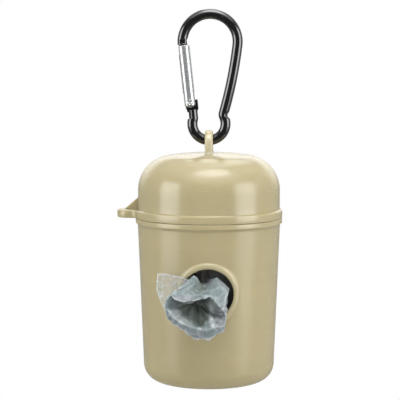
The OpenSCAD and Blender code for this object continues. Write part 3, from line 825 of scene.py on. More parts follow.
    def rivet(self) -> bpy.types.Object:
        """The pivot pin with its two peened heads."""
        shell = Shell("rivet_pin")
        seat, head = self.head_seat, self.head_r
        profile = [(self.pin_r, 0.0), (self.pin_r, seat), (head - 0.04, seat + 0.01), (head, seat + 0.08),
                   (head - 0.02, seat + 0.2), (head - 0.1, seat + 0.31), (head - 0.24, seat + 0.36),
                   (0.72, seat + 0.33), (0.6, seat + 0.2)]
        profile += [(size, seat + 0.17) for size in (0.5, 0.38, 0.25, 0.12)]
        for sign in (-1, 1):
            rows = []
            for radius, rise in profile:
                dent = 0.09 * smooth(0.5, 0.3, radius)
                rows.append([self.gate.out(radius * math.sin(t), radius * math.cos(t),
                                           sign * (rise + dent * (0.5 + 0.5 * math.cos(3 * t + 0.6))))
                             for t in round_about(self.sides)])
            shell.fan(shell.skin(rows)[-1], self.gate.out(0, 0, sign * (seat + 0.22)))
        return shell.piece(PlainSteel(), 40.0)

    def tube(self) -> bpy.types.Object:
        """The gate: the frame's own shape, with its loose triangles joined so that it shades smoothly."""
        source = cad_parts["carabiner_gate"].data
        shell = Shell("gate_tube")
        shell.ring([point.co / MM for point in source.vertices])
        shell.faces = [tuple(face.vertices) for face in source.polygons]
        return shell.piece(TurnedAluminium(), 30.0)

    def spring(self) -> bpy.types.Object:
        """The gate's coil spring, wound by Geometry Nodes round a helix."""
        low, high = self.coil_ends
        values = {"Coil radius": self.coil_r * MM, "Wire radius": self.wire_r * MM,
                  "Length": (high - low - 2 * self.wire_r) * MM, "Turns": self.coil_turns}
        tree = NodeTree("gate_coil", list(values))
        helix = tree.add("GeometryNodeCurveSpiral", {
            "Resolution": 28, "Rotations": "@Turns", "Height": "@Length",
            "Start Radius": "@Coil radius", "End Radius": "@Coil radius"})
        wire = tree.add("GeometryNodeCurvePrimitiveCircle", {"Resolution": 10, "Radius": "@Wire radius"})
        coil = tree.add("GeometryNodeCurveToMesh", {"Curve": helix, "Profile Curve": wire, "Fill Caps": True})
        start = Matrix.Translation((0, 0, (low + self.wire_r) * MM))
        return tree.piece(coil, PlainSteel(), values, self.gate.matrix() @ start)

    def build(self) -> None:
        """Makes the hook's pieces and dresses the gate and the plunger."""
        rod = self.rod()
        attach(rod, "hook")
        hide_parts("carabiner_frame")
        rivet = self.rivet()
        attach(rivet, "gate")
        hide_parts("gate_rivet")
        spring = self.spring()
        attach(spring, "gate")
        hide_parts("gate_spring")
        tube = self.tube()
        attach(tube, "gate")
        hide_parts("carabiner_gate")
        dress("gate_plunger", PlainSteel())
        for made in (rod, rivet, spring, tube):
            report(made)


def dress(node: str, finish: Finish) -> None:
    """Gives a CAD node its finish."""
    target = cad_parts[node]
    for slot in target.material_slots:
        slot.material = finish.material()
    LOG.info("%s: dressed in %s", node, finish.label)


# The canister


@dataclass
class Canister:
    """Levels and radii that the lid and the case share."""

    apex_z: float = -48.875
    seam_z: float = -72.875
    base_z: float = -133.775
    flange_r: float = 27.1
    sides: int = 192

@dataclass
class Lid:
    """One moulding: dome, flange, pry tab with gusset, hanging loop and plug skirt."""

    sizes: Canister
    lid_r: float = 26.2
    wall: float = 1.6
    crown_r: float = 105.0
    shoulder_r: float = 12.8
    shoulder_x: float = 13.4
    shoulder_z: float = -62.654
    crown_angle: float = 8.357
    flange_h: float = 3.0
    skirt_r: float = 24.64
    skirt_in: float = 23.25
    skirt_depth: float = 4.5
    tab_w: float = 9.0
    tab_out: float = 6.8
    tab_fillet: float = 3.0
    gusset_h: float = 4.2
    gusset_t: float = 1.6
    eye_z: float = -46.15
    eye_mid: float = 4.7
    loop_w: float = 2.95
    loop_t: float = 1.8
    loop_round: float = 0.8

    def dome(self, inset: float) -> list[Pair]:
        """The dome's half section from the apex down to the wall, moved in by an inset."""
        lean, crown = 90 - self.crown_angle, (0.0, self.sizes.apex_z - self.crown_r)
        points = arc(crown, self.crown_r - inset, 90, lean, 1.0)
        points += arc((self.shoulder_x, self.shoulder_z), self.shoulder_r - inset, lean, 0, 0.6)[1:]
        points[0] = (0.0, points[0][1])
        return points

    def profile(self) -> list[Pair]:
        """The whole half section: outside, flange, skirt and inside."""
        seam, flange, skirt = self.sizes.seam_z, self.sizes.flange_r, self.skirt_r
        top, low, inner = seam + self.flange_h, seam - self.skirt_depth, self.lid_r - self.wall
        shoulder = self.shoulder_z - 0.5
        outline = rounded([
            (self.lid_r, shoulder, 0), (self.lid_r, top, 0.3), (flange, top, 0.42), (flange, seam, 0.22),
            (skirt, seam, 0.1), (skirt, seam - 2.2, 0.1), (skirt + 0.05, seam - 2.6, 0.2),
            (skirt, seam - 3.1, 0.1), (skirt, low + 0.5, 0.1), (skirt - 0.5, low, 0.1),
            (self.skirt_in, low, 0.25), (self.skirt_in, top, 0.6),
            (inner, top + 1.15, 0.6), (inner, shoulder, 0)])
        return self.dome(0.0) + spaced(outline) + list(reversed(self.dome(self.wall)))

    def tab_outline(self) -> list[Pair]:
        """The plan of the tab: round tip, and fillets where it leaves the flange."""
        flange, half = self.sizes.flange_r, self.tab_w / 2
        fillet_y = half + self.tab_fillet
        fillet_x = -math.sqrt((flange + self.tab_fillet) ** 2 - fillet_y**2)
        edge = math.degrees(math.atan2(fillet_y, -fillet_x))
        upper = arc((fillet_x, fillet_y), self.tab_fillet, -edge, -90, 0.3)
        tip = arc((half - flange - self.tab_out, 0), half, 90, 270, 0.35)
        inner = self.wall / 2 - self.lid_r
        root = [(inner, -fillet_y * 0.8), (inner, fillet_y * 0.8)]
        return upper + tip + [(x, -y) for x, y in reversed(upper)] + root

    def loop(self, shell: Shell) -> None:
        """Adds the hanging loop: a rounded bar bent into an arch, its feet flared into the dome."""
        flat_w, flat_t = self.loop_w / 2 - self.loop_round, self.loop_t / 2 - self.loop_round
        section: list[Pair] = []
        for sx, sy, start in ((1, 1, 0), (-1, 1, 90), (-1, -1, 180), (1, -1, 270)):
            section += arc((sx * flat_t, sy * flat_w), self.loop_round, start, start + 90, 0.18)
        apex, mid, top = self.sizes.apex_z, self.eye_mid, self.eye_z + self.eye_mid
        foot = apex - 0.9
        leg = [foot + (self.eye_z - foot) * i / 14 for i in range(15)]
        path = [(-mid, z, 180.0) for z in leg]
        path += [(*polar((0, self.eye_z), mid, a), a) for a in range(175, 0, -5)]
        path += [(mid, z, 0.0) for z in reversed(leg)]
        rows = []
        for y, z, angle in path:
            out_y, out_z = polar((0.0, 0.0), 1.0, angle)
            flare = 0.2 * max(0.0, 1 - (z - apex) / 0.6) ** 2
            grown = [(t + flare * t / math.hypot(t, w), w + flare * w / math.hypot(t, w)) for t, w in section]
            rows.append([(w, y + out_y * t, z + out_z * t) for t, w in grown])
        rings = shell.skin(rows)
        # Painted glow: the loop's bar below its top is marked so that its colour is lifted, painting the
        # light that shines through it.
        for ring, (_, z, _) in zip(rings, path):
            shell.mark("thin", ring, [0.85 * smooth(top, top - 3.0, z)] * len(ring))
        shell.cap(rings)

    def build(self) -> None:
        """Makes the lid's one piece."""
        shell = Shell("lid_moulding")
        shell.lathe(self.profile(), self.sizes.sides)
        seam, height = self.sizes.seam_z, self.flange_h
        shell.slab(self.tab_outline(), height - 0.04, 0.42, lambda u, v, w: (u, v, seam + height / 2 + w))
        top, root, toe = seam + height, self.wall / 2 - self.lid_r, -self.sizes.flange_r - 4.0
        gusset = rounded([(root, top - 0.5, 0), (toe, top - 0.5, 0), (toe - 0.05, top + 0.1, 0.05),
                          (-self.lid_r - 0.15, top + self.gusset_h, 0.35), (root, top + self.gusset_h, 0)])
        shell.slab(gusset, self.gusset_t, 0.3, lambda u, v, w: (u, w, v))
        self.loop(shell)
        made = shell.piece(GlossPlastic())
        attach(made, "lid")
        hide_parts("lid")
        report(made)


@dataclass
class Case:
    """One moulding: tapered cup with a collar, and a raised rim round the dispensing hole."""

    sizes: Canister
    base_r: float = 23.95
    top_r: float = 26.4
    wall: float = 1.6
    floor: float = 1.8
    base_round: float = 6.6
    collar_h: float = 2.1
    mouth_r: float = 24.75
    mouth_depth: float = 5.5
    groove: float = 0.2
    recess_r: float = 11.0
    recess: float = 0.4
    hole_z: float = -98.075
    hole_r: float = 9.2
    rim_w: float = 2.2
    rim_out: float = 0.9
    patch_columns: int = 16
    patch_reach: float = 13.0
    patch_rings: int = 6
    rows_below: int = 10
    rows_above: int = 5

    @property
    def slope(self) -> float:
        """How much the wall's radius grows with height."""
        return (self.top_r - self.base_r) / (self.sizes.seam_z - self.sizes.base_z)

    def radius(self, z: float, inset: float = 0.0) -> float:
        """The wall's radius at a height, moved in by an inset."""
        return self.base_r + (z - self.sizes.base_z) * self.slope - inset * math.hypot(1, self.slope)

    def rows(self, inset: float, low: float, high: float) -> list[Pair]:
        """Wall points from low to high, evenly spaced across the patch round the hole."""
        bottom, top = self.hole_z - self.patch_reach, self.hole_z + self.patch_reach
        heights = [high]
        for start, end, count in ((top, high, self.rows_above), (bottom, top, 2 * self.patch_columns),
                                  (low, bottom, self.rows_below)):
            heights = [start + (end - start) * i / count for i in range(count)] + heights
        return [(self.radius(z, inset), z) for z in heights]

    def corner(self, bottom: float, inset: float, size: float, start: float) -> list[Pair]:
        """The base's outside or inside corner, from its flat part up to the wall."""
        lean = math.atan(self.slope)
        x = self.radius(bottom, inset) + size * (math.tan(lean) - 1 / math.cos(lean))
        return [(start, bottom)] + arc((x, bottom + size), size, -90, -math.degrees(lean), 0.6)

    def profile(self) -> tuple[list[Pair], int, int]:
        """The half section, and where the patch rows start outside and inside."""
        seam, base, flange = self.sizes.seam_z - 0.1, self.sizes.base_z, self.sizes.flange_r
        recess, roof, mouth = self.recess_r, base + self.recess, self.mouth_r
        under = [(0.0, roof, 0), (recess, roof, 0.15), (recess, base, 0.15), (recess + 2.5, base, 0)]
        points = spaced(rounded(under, 3)) + self.corner(base, 0.0, self.base_round, 15.0)
        first = len(points) + self.rows_below
        foot, end, groove = seam - self.collar_h, seam - self.mouth_depth, mouth + self.groove
        points += self.rows(0.0, points[-1][1] + 1.5, foot - 1.0)
        points += spaced(rounded([
            (self.radius(foot - 0.95), foot - 0.95, 0), (self.radius(foot - 0.5), foot - 0.5, 0.3),
            (flange - 0.5, foot, 0.15), (flange, foot + 0.45, 0.3), (flange, seam, 0.28), (mouth, seam, 0.3),
            (mouth, seam - 2.05, 0.05), (groove, seam - 2.2, 0.05), (groove, seam - 3.0, 0.05),
            (mouth, seam - 3.15, 0.05), (mouth, end, 0.05)]))
        second, inner = len(points) + self.rows_above, base + self.floor
        points += reversed(self.rows(self.wall, inner + self.base_round, end - 0.2))
        points += reversed(self.corner(inner, self.wall, self.base_round - self.wall, 14.0)[1:])
        return points + [(x, inner) for x in (16.0, 10.0, 5.0, 1.0, 0.0)], first, second

    def on_wall(self, x: float, z: float, inset: float) -> Vector:
        """The point of the wall at x and z on the front side."""
        radius = self.radius(z, inset)
        return Vector((x, -math.sqrt(max(0.0, radius * radius - x * x)), z))

    def open_wall(self, shell: Shell, rings: Rings, start: int) -> list[int]:
        """Takes the square round the hole out of the wall.

        Args:
            shell: the shell that holds the turned wall.
            rings: its rings.
            start: the ring at the square's lower end, or its upper end on the inside.

        Returns:
            The points of the square's edge.
        """
        span, sides, stop = self.patch_columns, self.sizes.sides, start + 2 * self.patch_columns
        gone = set()
        for a, b in zip(rings[start:stop], rings[start + 1:]):
            for c in range(-span, span):
                gone.add((a[c % sides], a[(c + 1) % sides], b[(c + 1) % sides], b[c % sides]))
        shell.faces = [face for face in shell.faces if face not in gone]
        low = [rings[start][c % sides] for c in range(-span, span)]
        right = [rings[r][span] for r in range(start, stop)]
        high = [rings[stop][c % sides] for c in range(span, -span, -1)]
        return low + right + high + [rings[r][-span % sides] for r in range(stop, start, -1)]

    def hole_patch(self, shell: Shell, edge: Sequence[int], inset: float, last: float) -> list[int]:
        """Fills the square round the hole with rings that go from square to round.

        Args:
            shell: the shell to add to.
            edge: the points of the square's edge.
            inset: how far in the wall's surface lies.
            last: the radius of the round ring where the patch ends.

        Returns:
            The round ring.
        """
        starts = [Vector((shell.points[i].x, shell.points[i].z)) for i in edge]
        ends = [Vector(polar((0.0, self.hole_z), last, math.degrees(t))) for t in self.turns(shell, edge)]
        shares = [step / self.patch_rings for step in range(1, self.patch_rings + 1)]
        rings = shell.skin([[self.on_wall(*a.lerp(b, share), inset) for a, b in zip(starts, ends)]
                            for share in shares])
        shell.bridge(edge, rings[0])
        return rings[-1]

    def turns(self, shell: Shell, ring: Sequence[int]) -> list[float]:
        """The angles of a ring's points round the hole."""
        return [math.atan2(shell.points[i].z - self.hole_z, shell.points[i].x) for i in ring]

    def build(self) -> None:
        """Makes the case's one piece."""
        shell = Shell("case_shell")
        profile, first, second = self.profile()
        rings = shell.lathe(profile, self.sizes.sides)
        poles = 1
        edges = [self.open_wall(shell, rings, start - poles) for start in (first, second)]
        hole, out = self.hole_r, self.rim_out
        reach = hole + self.rim_w
        outer = self.hole_patch(shell, edges[0], 0.0, reach + 0.3)
        turns = self.turns(shell, outer)
        steps = [(reach + 0.12, 0.03), (reach, 0.12), (reach - 0.03, 0.3), (reach - 0.12, 0.5),
                 (reach - 0.3, 0.69), (reach - 0.55, 0.82), (reach - 0.85, out), (hole + 0.75, out),
                 (hole + 0.4, out - 0.07), (hole + 0.17, out - 0.2), (hole + 0.04, out - 0.42),
                 (hole, out - 0.7), (hole, -0.6), (hole, -1.3), (hole + 0.1, -1.55), (hole + 0.3, -self.wall)]
        middle = (0.0, self.hole_z)
        rim = shell.skin([[self.on_wall(*polar(middle, size, math.degrees(t)), -height) for t in turns]
                          for size, height in steps])
        # Painted highlight: the raised part of the rim is marked so that its colour is lifted, painting the
        # light that its face catches and that shines through it.
        for ring, (_, height) in zip(rim, steps):
            shell.mark("thin", ring, [0.3 * smooth(0.1, 0.6, height)] * len(ring))
        shell.bridge(outer, rim[0])
        inner = self.hole_patch(shell, edges[1], self.wall, hole + 0.6)
        ordered = [[i for _, i in sorted(zip(angles, ring))]
                   for angles, ring in ((turns, rim[-1]), (self.turns(shell, inner), inner))]
        shell.bridge(*ordered)
        made = shell.piece(GlossPlastic())
        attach(made, "case")
        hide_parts("case")
        report(made)


# The refill roll


@dataclass
class RefillRoll:
    """The roll of bags, wound by Geometry Nodes, on its cardboard tube."""

    inner_r: float = 7.55
    outer_r: float = 17.3
    height: float = 57.2
    low_z: float = -131.675
    turns: float = 44.0
    film: float = 0.13
    unevenness: float = 0.5

    def build(self) -> None:
        """Makes the wound film and dresses the tube."""
        values = {"Inner radius": self.inner_r * MM, "Outer radius": self.outer_r * MM,
                  "Height": self.height * MM, "Turns": self.turns,
                  "Film": self.film * MM, "Unevenness": self.unevenness * MM}
        tree = NodeTree("film_roll", list(values))
        spiral = tree.add("GeometryNodeCurveSpiral", {
            "Resolution": 40, "Rotations": "@Turns", "Height": 0.0,
            "Start Radius": "@Inner radius", "End Radius": "@Outer radius"})
        where = tree.add("GeometryNodeInputPosition")
        ripple = tree.add("ShaderNodeTexNoise", {"Vector": where, "Scale": 420.0, "Detail": 2.0})
        centred = tree.add("ShaderNodeMath", {0: ripple, 1: 0.5}, operation="SUBTRACT")
        slip = tree.add("ShaderNodeMath", {0: centred, 1: "@Unevenness"}, operation="MULTIPLY")
        lift = tree.add("ShaderNodeCombineXYZ", {"Z": slip})
        path = tree.add("GeometryNodeSetPosition", {"Geometry": spiral, "Offset": lift})
        strip = tree.add("GeometryNodeCurvePrimitiveQuadrilateral", {"Width": "@Film", "Height": "@Height"},
                         mode="RECTANGLE")
        wound = tree.add("GeometryNodeCurveToMesh",
                         {"Curve": path, "Profile Curve": strip, "Fill Caps": True})
        middle = Matrix.Translation((0, 0, (self.low_z + self.height / 2 + 0.3) * MM))
        made = tree.piece(wound, WoundFilm(), values, middle)
        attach(made, "roll")
        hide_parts("bag_roll")
        report(made)
        dress("roll_core", Cardboard())


# The pulled-out bag


@dataclass
class PulledBag:
    """The first bag: a gathered neck through the hole, a crumpled open pouch, and a thin flap beside it.

    The rows are points in millimetres, with z counted from the middle of the hole. Each has 18 points that
    start at the left tip and go over the top to the right and back underneath. The flap's rows have five,
    from its free side to the pouch.
    """

    hole_z: float = -98.075
    fine: int = 7
    hem_row: int = 14
    lip_row: int = 21
    roll_r: float = 17.62
    film_half: float = 0.04
    rim_middle: Pair = (-0.6, -0.2)
    strip_middle: Pair = (-2.6, -1.8)
    strip_halves: Pair = (4.2, 11.0)
    strip_waist: float = 0.22

    rim = ((-6.6, -26.5, 5.9), (-5.0, -26.0, 7.0), (-3.8, -26.0, 6.3), (-2.3, -26.5, 4.0),
           (-0.6, -27.0, 3.0), (1.6, -27.0, 4.9), (3.3, -27.0, 6.5), (7.8, -28.0, 2.6), (6.0, -28.0, -1.4),
           (4.2, -27.0, -4.1), (2.1, -26.5, -6.0), (-0.6, -26.5, -7.0), (-3.1, -26.5, -7.1),
           (-5.2, -26.5, -6.0), (-7.0, -26.5, -4.0), (-8.2, -26.5, -1.7), (-8.6, -26.5, 1.0),
           (-7.9, -26.5, 3.7))
    middle = ((-9.5, -31.0, 3.8), (-7.5, -31.5, 3.7), (-5.7, -32.0, 3.3), (-3.3, -32.5, 2.4),
              (-1.2, -32.5, 2.1), (1.3, -31.5, 3.6), (4.1, -31.0, 4.6), (7.3, -31.0, 1.6),
              (6.6, -31.5, -1.9), (6.1, -31.0, -7.3), (3.1, -31.2, -10.2), (-0.1, -31.0, -11.3),
              (-3.3, -31.0, -11.3), (-6.1, -31.0, -10.2), (-9.3, -31.0, -8.1), (-11.8, -31.0, -5.3),
              (-12.5, -31.0, -2.0), (-11.6, -31.0, 1.2))
    cuff = ((-12.5, -35.2, 1.6), (-10.4, -35.8, 1.0), (-8.2, -36.2, 0.4), (-4.4, -36.8, 0.5),
            (-2.0, -37.0, 1.2), (0.7, -36.6, 2.1), (3.0, -36.2, 0.7), (5.9, -35.2, -2.5),
            (7.0, -34.6, -5.3), (6.4, -34.4, -10.5), (3.3, -34.8, -12.5), (0.3, -35.0, -14.0),
            (-2.9, -35.0, -14.3), (-6.0, -35.2, -13.0), (-9.3, -35.2, -10.4), (-12.9, -35.0, -7.8),
            (-14.9, -34.6, -4.3), (-14.9, -34.4, -1.0))
    lip = ((-12.8, -36.0, 1.4), (-10.7, -36.6, 0.3), (-8.6, -37.2, -0.5), (-4.6, -38.0, 0.0),
           (-2.1, -38.2, 0.7), (0.6, -37.8, 1.4), (2.6, -37.2, -0.1), (5.5, -36.2, -3.8),
           (6.7, -35.6, -5.6), (6.1, -35.0, -9.7), (2.6, -36.2, -9.8), (-0.4, -37.0, -10.7),
           (-3.1, -37.4, -10.2), (-6.0, -37.6, -9.4), (-9.5, -37.2, -8.1), (-12.4, -36.6, -5.9),
           (-14.2, -36.0, -3.2), (-14.1, -35.6, -0.4))
    inside = ((-11.7, -34.0, -0.1), (-9.9, -34.0, -1.0), (-8.0, -34.0, -1.4), (-4.6, -34.5, -0.7),
              (-2.2, -34.5, -0.2), (0.5, -35.0, 0.2), (2.1, -35.8, -1.4), (4.3, -33.5, -3.9),
              (5.0, -33.2, -5.7), (2.2, -35.2, -7.3), (0.3, -34.6, -8.5), (-1.5, -34.2, -9.1),
              (-3.6, -34.5, -8.9), (-6.2, -34.5, -8.0), (-9.2, -34.0, -6.5), (-11.3, -34.0, -4.4),
              (-12.7, -33.6, -2.7), (-12.7, -33.6, -1.3))
    hollow = ((-9.7, -31.0, -0.6), (-8.1, -31.0, -1.0), (-6.1, -31.0, -1.0), (-4.4, -31.0, -0.8),
              (-2.6, -31.0, -0.6), (-0.7, -31.0, -0.9), (0.8, -31.5, -2.3), (1.6, -30.5, -4.2),
              (2.0, -30.5, -5.6), (0.1, -32.0, -6.1), (-0.8, -30.8, -6.9), (-2.4, -31.6, -7.3),
              (-3.7, -30.6, -7.1), (-5.7, -32.0, -6.7), (-7.4, -30.8, -5.6), (-9.0, -30.8, -4.4),
              (-10.2, -30.6, -3.2), (-10.4, -30.6, -1.9))
    deep = ((-5.1, -27.0, -1.9), (-4.7, -27.0, -2.0), (-4.3, -27.0, -2.1), (-3.8, -27.0, -2.1),
            (-3.4, -27.0, -2.2), (-2.9, -27.0, -2.3), (-2.6, -27.0, -2.6), (-2.5, -27.0, -3.0),
            (-2.5, -27.0, -3.4), (-2.8, -27.0, -3.6), (-3.1, -27.0, -3.8), (-3.4, -27.0, -3.9),
            (-3.8, -27.0, -3.8), (-4.1, -27.2, -3.6), (-4.5, -27.0, -3.3), (-4.8, -27.0, -3.0),
            (-5.0, -27.0, -2.6), (-5.2, -27.0, -2.3))
    flap = (((-17.8, -24.5, 7.6), (-15.2, -25.6, 7.6), (-12.1, -26.8, 7.2), (-8.9, -27.6, 6.6),
             (-6.2, -28.5, 5.4)),
            ((-18.1, -25.0, 5.2), (-15.5, -26.0, 5.2), (-12.6, -27.0, 5.0), (-10.1, -28.0, 4.6),
             (-7.9, -29.0, 3.7)),
            ((-18.2, -25.5, 2.1), (-15.8, -26.6, 2.3), (-13.5, -27.8, 2.2), (-11.3, -29.0, 1.9),
             (-9.7, -30.0, 1.4)),
            ((-17.4, -26.4, -0.5), (-15.6, -27.4, -0.5), (-13.8, -28.6, -0.6), (-12.2, -29.8, -1.0),
             (-10.7, -30.6, -1.4)),
            ((-16.5, -27.5, -2.6), (-15.2, -28.6, -3.0), (-14.0, -29.6, -3.4), (-12.5, -30.4, -3.8),
             (-11.4, -31.0, -4.2)),
            ((-15.0, -29.5, -5.2), (-14.1, -30.0, -5.6), (-13.0, -30.6, -6.0), (-12.0, -31.0, -6.5),
             (-10.9, -31.4, -7.0)))

    def placed(self, row: Sequence[Triple]) -> list[Vector]:
        """A row of points in the part's frame."""
        return [Vector((x, y, z + self.hole_z)) for x, y, z in row]

    @staticmethod
    def crumple(point: Vector, size: float, seed: int) -> float:
        """Height of a crumpled sheet at a point: folded planes with sharp creases, from -1 to 1."""
        total, weight = 0.0, 0.0
        for index in range(4):
            phase = index + seed
            way = Vector((math.sin(12.9 * phase + 1.3), math.cos(7.7 * phase + 0.4),
                          math.sin(4.1 * phase - 0.8))).normalized()
            bend = noise.noise(point * 0.16 + Vector((index * 7.1, seed, 0))) * 1.3
            wave = (point.dot(way) / (size * (1 + 0.35 * index)) + bend) % 1.0
            share = 1.0 / (1 + 0.5 * index)
            total += share * (4 * abs(wave - 0.5) - 1)
            weight += share
        return total / weight

    def weave(self, rows: Net, closed: bool, soft: float) -> list[list[Vector]]:
        """Splits a net of rows into fine rows, part flat facets and part smooth curves.

        Args:
            rows: the net's rows.
            closed: whether a row's end joins its start.
            soft: the share of the smooth curve, from 0 to 1.

        Returns:
            The fine net.
        """
        def between(points: Sequence[Vector], loop: bool) -> list[Vector]:
            count = len(points)
            result: list[Vector] = []
            for i in range(count if loop else count - 1):
                near = [k % count if loop else min(max(k, 0), count - 1) for k in range(i - 1, i + 3)]
                p0, p1, p2, p3 = (points[k] for k in near)
                for s in range(self.fine):
                    t = s / self.fine
                    curve = 0.5 * (2 * p1 + (p2 - p0) * t + (2 * p0 - 5 * p1 + 4 * p2 - p3) * t * t
                                   + (3 * p1 - p0 - 3 * p2 + p3) * t**3)
                    result.append(p1.lerp(p2, t).lerp(curve, soft))
            return result if loop else result + [points[-1].copy()]

        columns = [between(column, False) for column in zip(*(between(row, closed) for row in rows))]
        return [list(row) for row in zip(*columns)]

    def around(self, net: Net, r: int, k: int, closed: bool) -> list[Vector]:
        """The points to the left and right of a point of a net, and before and after it."""
        row, end = net[r], len(net[r]) - 1
        left = row[k - 1] if closed else row[max(0, k - 1)]
        right = row[(k + 1) % len(row)] if closed else row[min(end, k + 1)]
        return [left, right, net[max(0, r - 1)][k], net[min(len(net) - 1, r + 1)][k]]

    def normals(self, net: Net, closed: bool) -> list[list[Vector]]:
        """Normals of a net's points."""
        result: list[list[Vector]] = []
        for r, row in enumerate(net):
            result.append([])
            for k in range(len(row)):
                left, right, before, after = self.around(net, r, k, closed)
                result[-1].append((right - left).cross(after - before).normalized())
        return result

    def pouch(self) -> bpy.types.Object:
        """The open pouch: outside from the rim to the lip, then back into the hollow."""
        net = self.weave([self.placed(row) for row in (
            self.rim, self.middle, self.cuff, self.lip, self.inside, self.hollow, self.deep)], True, 0.25)
        for r, (row, ways) in enumerate(zip(net, self.normals(net, True))):
            free = smooth(0, 5, r)
            inner = smooth(3.1 * self.fine, 4.0 * self.fine, r)
            for k, (p, n) in enumerate(zip(row, ways)):
                at = k / self.fine
                height = (0.95 - 0.35 * inner) * self.crumple(p, 6.5, 3) + 0.22 * self.crumple(p, 2.6, 11)
                height += 0.4 * inner * self.pleat(at)
                row[k] = p + n * height * free
                torn = peak(r, self.hem_row, 1.8) * smooth(8.2, 9.6, at) * smooth(17.2, 16.0, at)
                ragged = noise.noise(Vector((k * 0.21, 3.0, 0.0))) * 1.1
                ragged += noise.noise(Vector((k * 0.8, 9.0, 0.0))) * 0.6
                row[k] += Vector((0.2 * ragged, -0.35, -1)).normalized() * torn * (ragged + 0.35)
        shell = Shell("bag_pouch")
        rings = shell.skin(net)
        shell.fan(rings[0])
        shell.fan(rings[-1], sum(net[-1], Vector()) / len(net[-1]) + Vector((0, 0.8, 0)))
        self.mark(shell, rings, net)
        crease_and_highlight, hollow = shell.values["crease_and_highlight"], shell.values["hollow"]
        for r, ring in enumerate(rings):
            past = r - self.lip_row
            for k, index in enumerate(ring):
                at, point = k / self.fine, net[r][k]
                # Painted light: highlights along the lip, the hem and the tips, a pool of light on the bottom
                # and left of the hollow (pale), and light on the fold at its right (fold).
                upper = smooth(9.5, 8.8, at) + smooth(17.2, 17.8, at)
                lip = peak(past, 0, 0.7) * (0.4 + 0.5 * upper)
                hem_highlight = peak(r, self.hem_row, 1.1) * (1 - upper)
                tip = 0.7 * sum(peak(at, c, 0.13) for c in (0, 7, 18)) * smooth(4, 9, r) * smooth(1, 0, past)
                pale = (0.5 + 0.5 * smooth(3, 9, past)) * self.lit_floor(point) * smooth(-1, 1, past)
                fold = self.lit_fold(point) * smooth(0, 3, past)
                uneven = 0.75 + 0.5 * noise.noise(Vector((k * 0.35, r * 0.35, 2.0)))
                crease_and_highlight[index] = min(1.0, max(crease_and_highlight[index], max(lip, hem_highlight, pale, tip, fold) * uneven))
                # Inside the hollow: painted shade, full at the closed end, where the highlights are taken
                # out.
                if past > 0:
                    end = smooth(5.2 * self.fine, 5.9 * self.fine, r)
                    hollow[index] = max(end, smooth(0, 5, past) * self.shade(point))
                    crease_and_highlight[index] *= 1 - end
                # Outside: painted shade on the left ear where it folds into the hole.
                else:
                    hollow[index] = 0.85 * smooth(1.2, 3.4, at) * smooth(4.6, 3.6, at) * smooth(12, 3, r)
        return shell.piece(CrumpledFilm(), 16.0)

    def lit_floor(self, point: Vector) -> float:
        """How much of the light from the front reaches the bottom and the left of the hollow, at a point."""
        x, z = point.x, point.z - self.hole_z
        edge = -3.9 - 4.5 * smooth(-12.0, -5.8, x) - 2.4 * smooth(-5.8, -3.8, x)
        return smooth(1.4, -1.6, z - edge) * smooth(0.5, -1.5, x)

    def shade(self, point: Vector) -> float:
        """How dark the hollow is: deep in the middle, light at the bottom and in the right-hand folds."""
        x, z = point.x, point.z - self.hole_z
        level = 0.25 + 0.72 * smooth(-12.4, -9.0, x) - 0.35 * peak(x, -5.9, 0.7)
        side = 0.7 - 0.43 * (-5.3 - z)
        level *= 1 - 0.75 * smooth(-0.5, 0.8, x - side)
        level += 0.35 * peak(x, 3.2, 0.7)
        return min(1.0, max(0.0, level * (1 - 0.85 * self.lit_floor(point))))

    def lit_fold(self, point: Vector) -> float:
        """How much of the fold that stands in the right of the hollow catches the light, at a point."""
        x, z = point.x, point.z - self.hole_z
        return 0.8 * peak(x + 0.12 * (z + 6), 1.5, 0.8) * smooth(-0.3, -3.5, z)

    @staticmethod
    def pleat(at: float) -> float:
        """The uneven folds that run into the hollow, from -1 in a valley to 1 on a ridge."""
        return max(-1.0, min(1.0, math.sin(1.7 * at + 0.4) + 0.6 * math.sin(3.9 * at + 1.9)))

    def mark(self, shell: Shell, rings: Rings, net: Net) -> None:
        """Stores how sharply the sheet is folded at each point, which whitens the creases and paints
        highlights on its ridges, and that it doesn't lie in the hollow's painted shade; other points get full
        painted shade.
        """
        for r, ring in enumerate(rings):
            folds = []
            for k, p in enumerate(net[r]):
                beside = self.around(net, r, k, True)
                step = max(1e-3, sum((q - p).length for q in beside) / 4)
                bend = (sum(beside, Vector()) / 4 - p).length / step
                folds.append(0.7 * smooth(0.3, 0.75, bend))
            shell.mark("crease_and_highlight", ring, folds)
            shell.mark("hollow", ring, [0.0] * len(ring))
        for index in range(len(shell.points)):
            shell.values["crease_and_highlight"].setdefault(index, 0.0)
            shell.values["hollow"].setdefault(index, 1.0)

    def thin_flap(self) -> bpy.types.Object:
        """The thin see-through corner of the bag that lies over the wall, left of the hole."""
        net = self.weave([self.placed(row) for row in self.flap], False, 0.4)
        normals = self.normals(net, False)
        for row, ways in zip(net, normals):
            for k, (p, n) in enumerate(zip(row, ways)):
                row[k] = p + n * (0.45 * self.crumple(p, 5.2, 5) + 0.12 * self.crumple(p, 2.1, 9))
        shell = Shell("bag_flap")
        borders = []
        for half in (self.film_half, -self.film_half):
            sheet = shell.skin([[p + n * half for p, n in zip(row, ways)]
                                for row, ways in zip(net, normals)], False)
            self.mark(shell, sheet, net)
            crease_and_highlight = shell.values["crease_and_highlight"]
